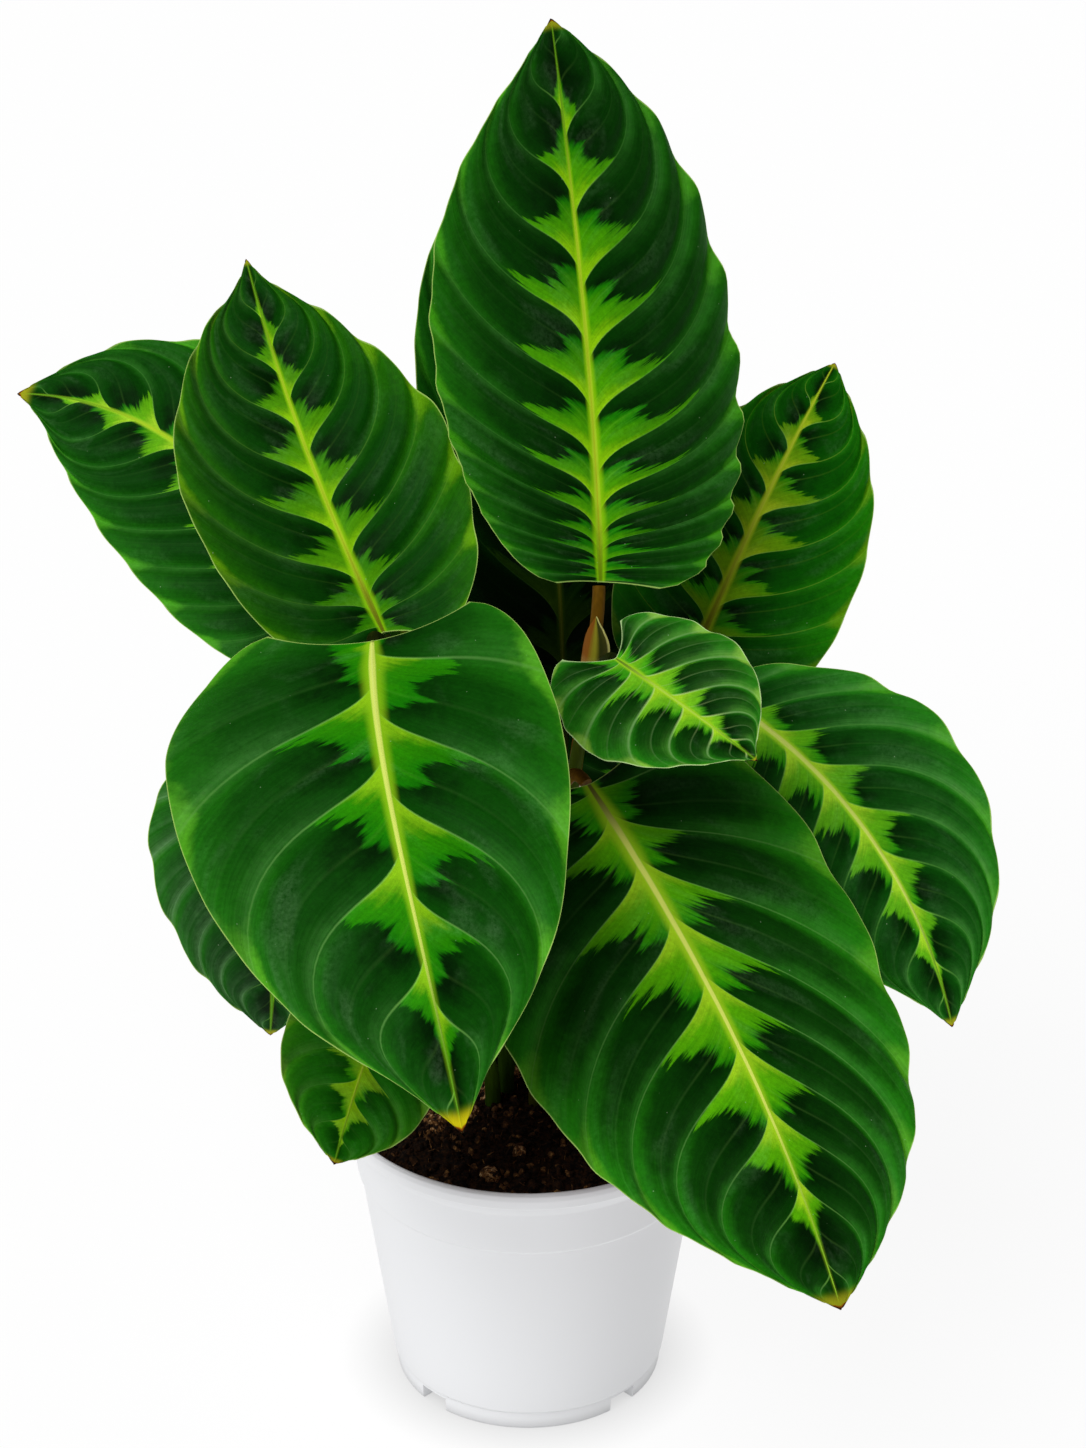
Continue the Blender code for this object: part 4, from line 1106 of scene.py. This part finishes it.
def makeStalk(name, points, tree, material):
    curve = bpy.data.curves.new("path", 'CURVE')
    curve.dimensions = '3D'
    spline = curve.splines.new('POLY')
    spline.points.add(len(points) - 1)
    for point, place in zip(spline.points, points):
        point.co = (*place, 1.0)
    path = bpy.data.objects.new("path", curve)
    bpy.context.scene.collection.objects.link(path)
    mesh = grown(path, tree, {
        "foot radius": stalk["footRadius"] * mm, "top radius": stalk["topRadius"] * mm,
        "swelling": stalk["swelling"] * mm, "sides": stalk["sides"], "material": material})
    bpy.data.objects.remove(path)
    addPiece(f"petiole_{name}", mesh, [material], [f"stalk_{name}"])


# Sheath: the papery bract that the young leaf came out of, clasping the top leaf's stalk. Foot and
# tip are shares of the stalk, turn and clasp are degrees round it, and the rest is millimetres.
sheath = {
    "foot": 0.66, "tip": 0.89, "turn": -10.0, "clasp": 105.0, "clearance": 1.3, "flare": 2.4,
    "thickness": 0.45, "rows": 48, "columns": 32,
    "edge": "#784810", "olive": "#807c1c", "shadow": "#2c3008", "dull": "#3c3c10",
    "pale": "#bcb86c",
}


def sheathMaterial():
    # a drying bract: thin and papery, olive with tan edges and a paler foot, finely ribbed
    material, tree, shader = startMaterial("drying_bract", {
        "Roughness": 0.6, "Specular IOR Level": 0.08, "IOR": 1.45})
    where = addNode(tree, "ShaderNodeAttribute", attribute_name="bract").outputs["Vector"]
    parts = addNode(tree, "ShaderNodeSeparateXYZ", {0: where})
    ribAt = addNode(tree, "ShaderNodeVectorMath", {0: where, 1: (16, 1.2, 1)},
                    operation='MULTIPLY')
    ribs = addNode(tree, "ShaderNodeTexNoise", {"Vector": ribAt, "Scale": 1.0, "Detail": 3.0})
    spread = addNode(tree, "ShaderNodeMath", {0: ribs, 1: 0.06, 2: parts.outputs["X"]},
                     operation='MULTIPLY_ADD')
    paint = addNode(tree, "ShaderNodeValToRGB", {"Fac": spread}, stops=[
        (0.35, sheath["edge"]), (0.62, sheath["olive"]), (0.8, sheath["shadow"]),
        (0.96, sheath["dull"]), (1.0, sheath["pale"])])
    foot = addNode(tree, "ShaderNodeMapRange",
                   {"Value": parts.outputs["Y"], "From Min": 0.1, "From Max": 0.5,
                    "To Min": 0.8, "To Max": 0.0})
    paint = addNode(tree, "ShaderNodeMix",
                    {"Factor": foot, "A": paint, "B": colour(sheath["pale"])}, data_type='RGBA')
    bump = addNode(tree, "ShaderNodeBump",
                   {"Height": ribs, "Strength": 0.5, "Distance": 0.3 * mm})
    endMaterial(tree, shader, paint, bump)
    return material


def makeSheath(path):
    rows, columns = sheath["rows"], sheath["columns"]
    last = len(path) - 1
    points, faces, marks = [], [], []
    for row in range(rows + 1):
        rise = row / rows
        where = (sheath["foot"] + (sheath["tip"] - sheath["foot"]) * rise) * last
        index = min(int(where), last - 1)
        place = path[index].lerp(path[index + 1], where - index)
        along = (path[index + 1] - path[index]).normalized()
        front = Vector((0.0, -1.0, 0.0))
        front = (front - along * along.dot(front)).normalized()
        clasp = sheath["clasp"] * (1.0 - rise ** 2.5)
        for column in range(columns + 1):
            around = 2.0 * column / columns - 1.0
            outward = turned(front, along, sheath["turn"] + around * clasp)
            flare = sheath["flare"] * max(0.0, around) ** 2 * math.sin(math.pi * rise ** 1.5)
            width = (stalk["footRadius"] + where / last * (stalk["topRadius"]
                                                           - stalk["footRadius"]))
            points.append(place + outward * (width + sheath["clearance"] + flare) * mm)
            marks.append(((around + 1) / 2, rise, 0.0))
    for row in range(rows):
        for column in range(columns):
            a = row * (columns + 1) + column
            faces.append((a, a + 1, a + columns + 2, a + columns + 1))
    mesh = bpy.data.meshes.new("bract")
    mesh.from_pydata(points, [], faces)
    data = mesh.attributes.new("bract", 'FLOAT_VECTOR', 'POINT')
    for i, mark in enumerate(marks):
        data.data[i].vector = mark
    blank = bpy.data.objects.new("bract", mesh)
    bpy.context.scene.collection.objects.link(blank)
    wall = blank.modifiers.new("Thickness", 'SOLIDIFY')
    wall.thickness = sheath["thickness"] * mm
    wall.offset = -1.0
    made = bakedMesh(blank)
    bpy.data.objects.remove(blank)
    made.shade_smooth()
    made.set_sharp_from_angle(angle=math.radians(50))
    addPiece("bract_young", made, [sheathMaterial()], ["sheath_young"])


def makeLeaves():
    skins = {}
    below = undersideMaterial()
    petioles = {name: stalkMaterial(f"petiole_skin_{name}", look)
                for name, look in stalkLooks.items()}
    tree = stalkTree()
    for name, own in leaves.items():
        leaf = usual | own
        if leaf["look"] not in skins:
            look = commonLook | looks[leaf["look"]]
            skins[leaf["look"]] = laminaMaterial(f"calathea_leaf_{leaf['look']}", look)
        frames = midribFrames(leaf)
        mesh = bladeMesh(f"lamina_{name}", leaf, frames)
        addPiece(f"lamina_{name}", mesh, [skins[leaf["look"]], below],
                 [f"blade_{name}"])
        path = stalkPath(leaf, frames)
        makeStalk(name, path, tree, petioles[leaf["petiole"]])
        if name == "top":
            makeSheath(path)
    print("leaves grown:", len(leaves))


makeLeaves()


# Studio: a white floor, an even pale room and one large soft light from the front left. The floor
# glows, with a painted contact shadow: it glows less where something stands close to it.
studio = {
    "floorSize": 14.0, "floorWhite": "#f6f6f6", "floorGrey": 0.09, "floorGlow": 1.0,
    "contactShadowGlow": 0.62, "contactShadowReach": 0.022, "roomStrength": 0.17,
    "lightStrength": 2.4, "lightSpread": 42.0, "lightFrom": (-0.55, -0.75, 1.25),
    "camera": (0.0054, -1.2, 0.8713), "pitch": 26.88, "focal": 96.94,
}


def makeStudio():
    size = studio["floorSize"]
    mesh = bpy.data.meshes.new("floor")
    mesh.from_pydata([(-size, -size, 0), (size, -size, 0), (size, size, 0), (-size, size, 0)],
                     [], [(0, 1, 2, 3)])
    floor = bpy.data.objects.new("floor", mesh)
    bpy.context.scene.collection.objects.link(floor)
    material, tree, shader = startMaterial("matt_white_sweep", {
        "Base Color": (*[studio["floorGrey"]] * 3, 1.0), "Roughness": 0.9,
        "Specular IOR Level": 0.0,
        "Emission Color": colour(studio["floorWhite"])})
    # painted contact shadow: the floor's glow drops where the pot closes it in
    near = addNode(tree, "ShaderNodeAmbientOcclusion", {"Distance": studio["contactShadowReach"]})
    glow = addNode(tree, "ShaderNodeMapRange", {
        "Value": near.outputs["AO"], "To Min": studio["contactShadowGlow"],
        "To Max": studio["floorGlow"]})
    tree.links.new(glow.outputs["Result"], shader.inputs["Emission Strength"])
    mesh.materials.append(material)

    world = bpy.data.worlds.new("room")
    bpy.context.scene.world = world
    world.use_nodes = True
    background = world.node_tree.nodes["Background"]
    background.inputs["Color"].default_value = (1.0, 1.0, 1.0, 1.0)
    background.inputs["Strength"].default_value = studio["roomStrength"]

    sun = bpy.data.lights.new("softbox", 'SUN')
    sun.energy = studio["lightStrength"]
    sun.angle = math.radians(studio["lightSpread"])
    lamp = bpy.data.objects.new("softbox", sun)
    lamp.rotation_euler = Vector(studio["lightFrom"]).to_track_quat('Z', 'Y').to_euler()
    bpy.context.scene.collection.objects.link(lamp)

    lens = bpy.data.cameras.new("camera")
    lens.lens = studio["focal"]
    lens.sensor_width = 36.0
    lens.clip_start, lens.clip_end = 0.05, 50.0
    camera = bpy.data.objects.new("camera", lens)
    camera.location = studio["camera"]
    camera.rotation_euler = (math.radians(90.0 - studio["pitch"]), 0.0, 0.0)
    bpy.context.scene.collection.objects.link(camera)
    bpy.context.scene.camera = camera
    bpy.context.scene.view_settings.view_transform = 'Standard'


makeStudio()
print("studio lit")

bpy.context.view_layer.update()
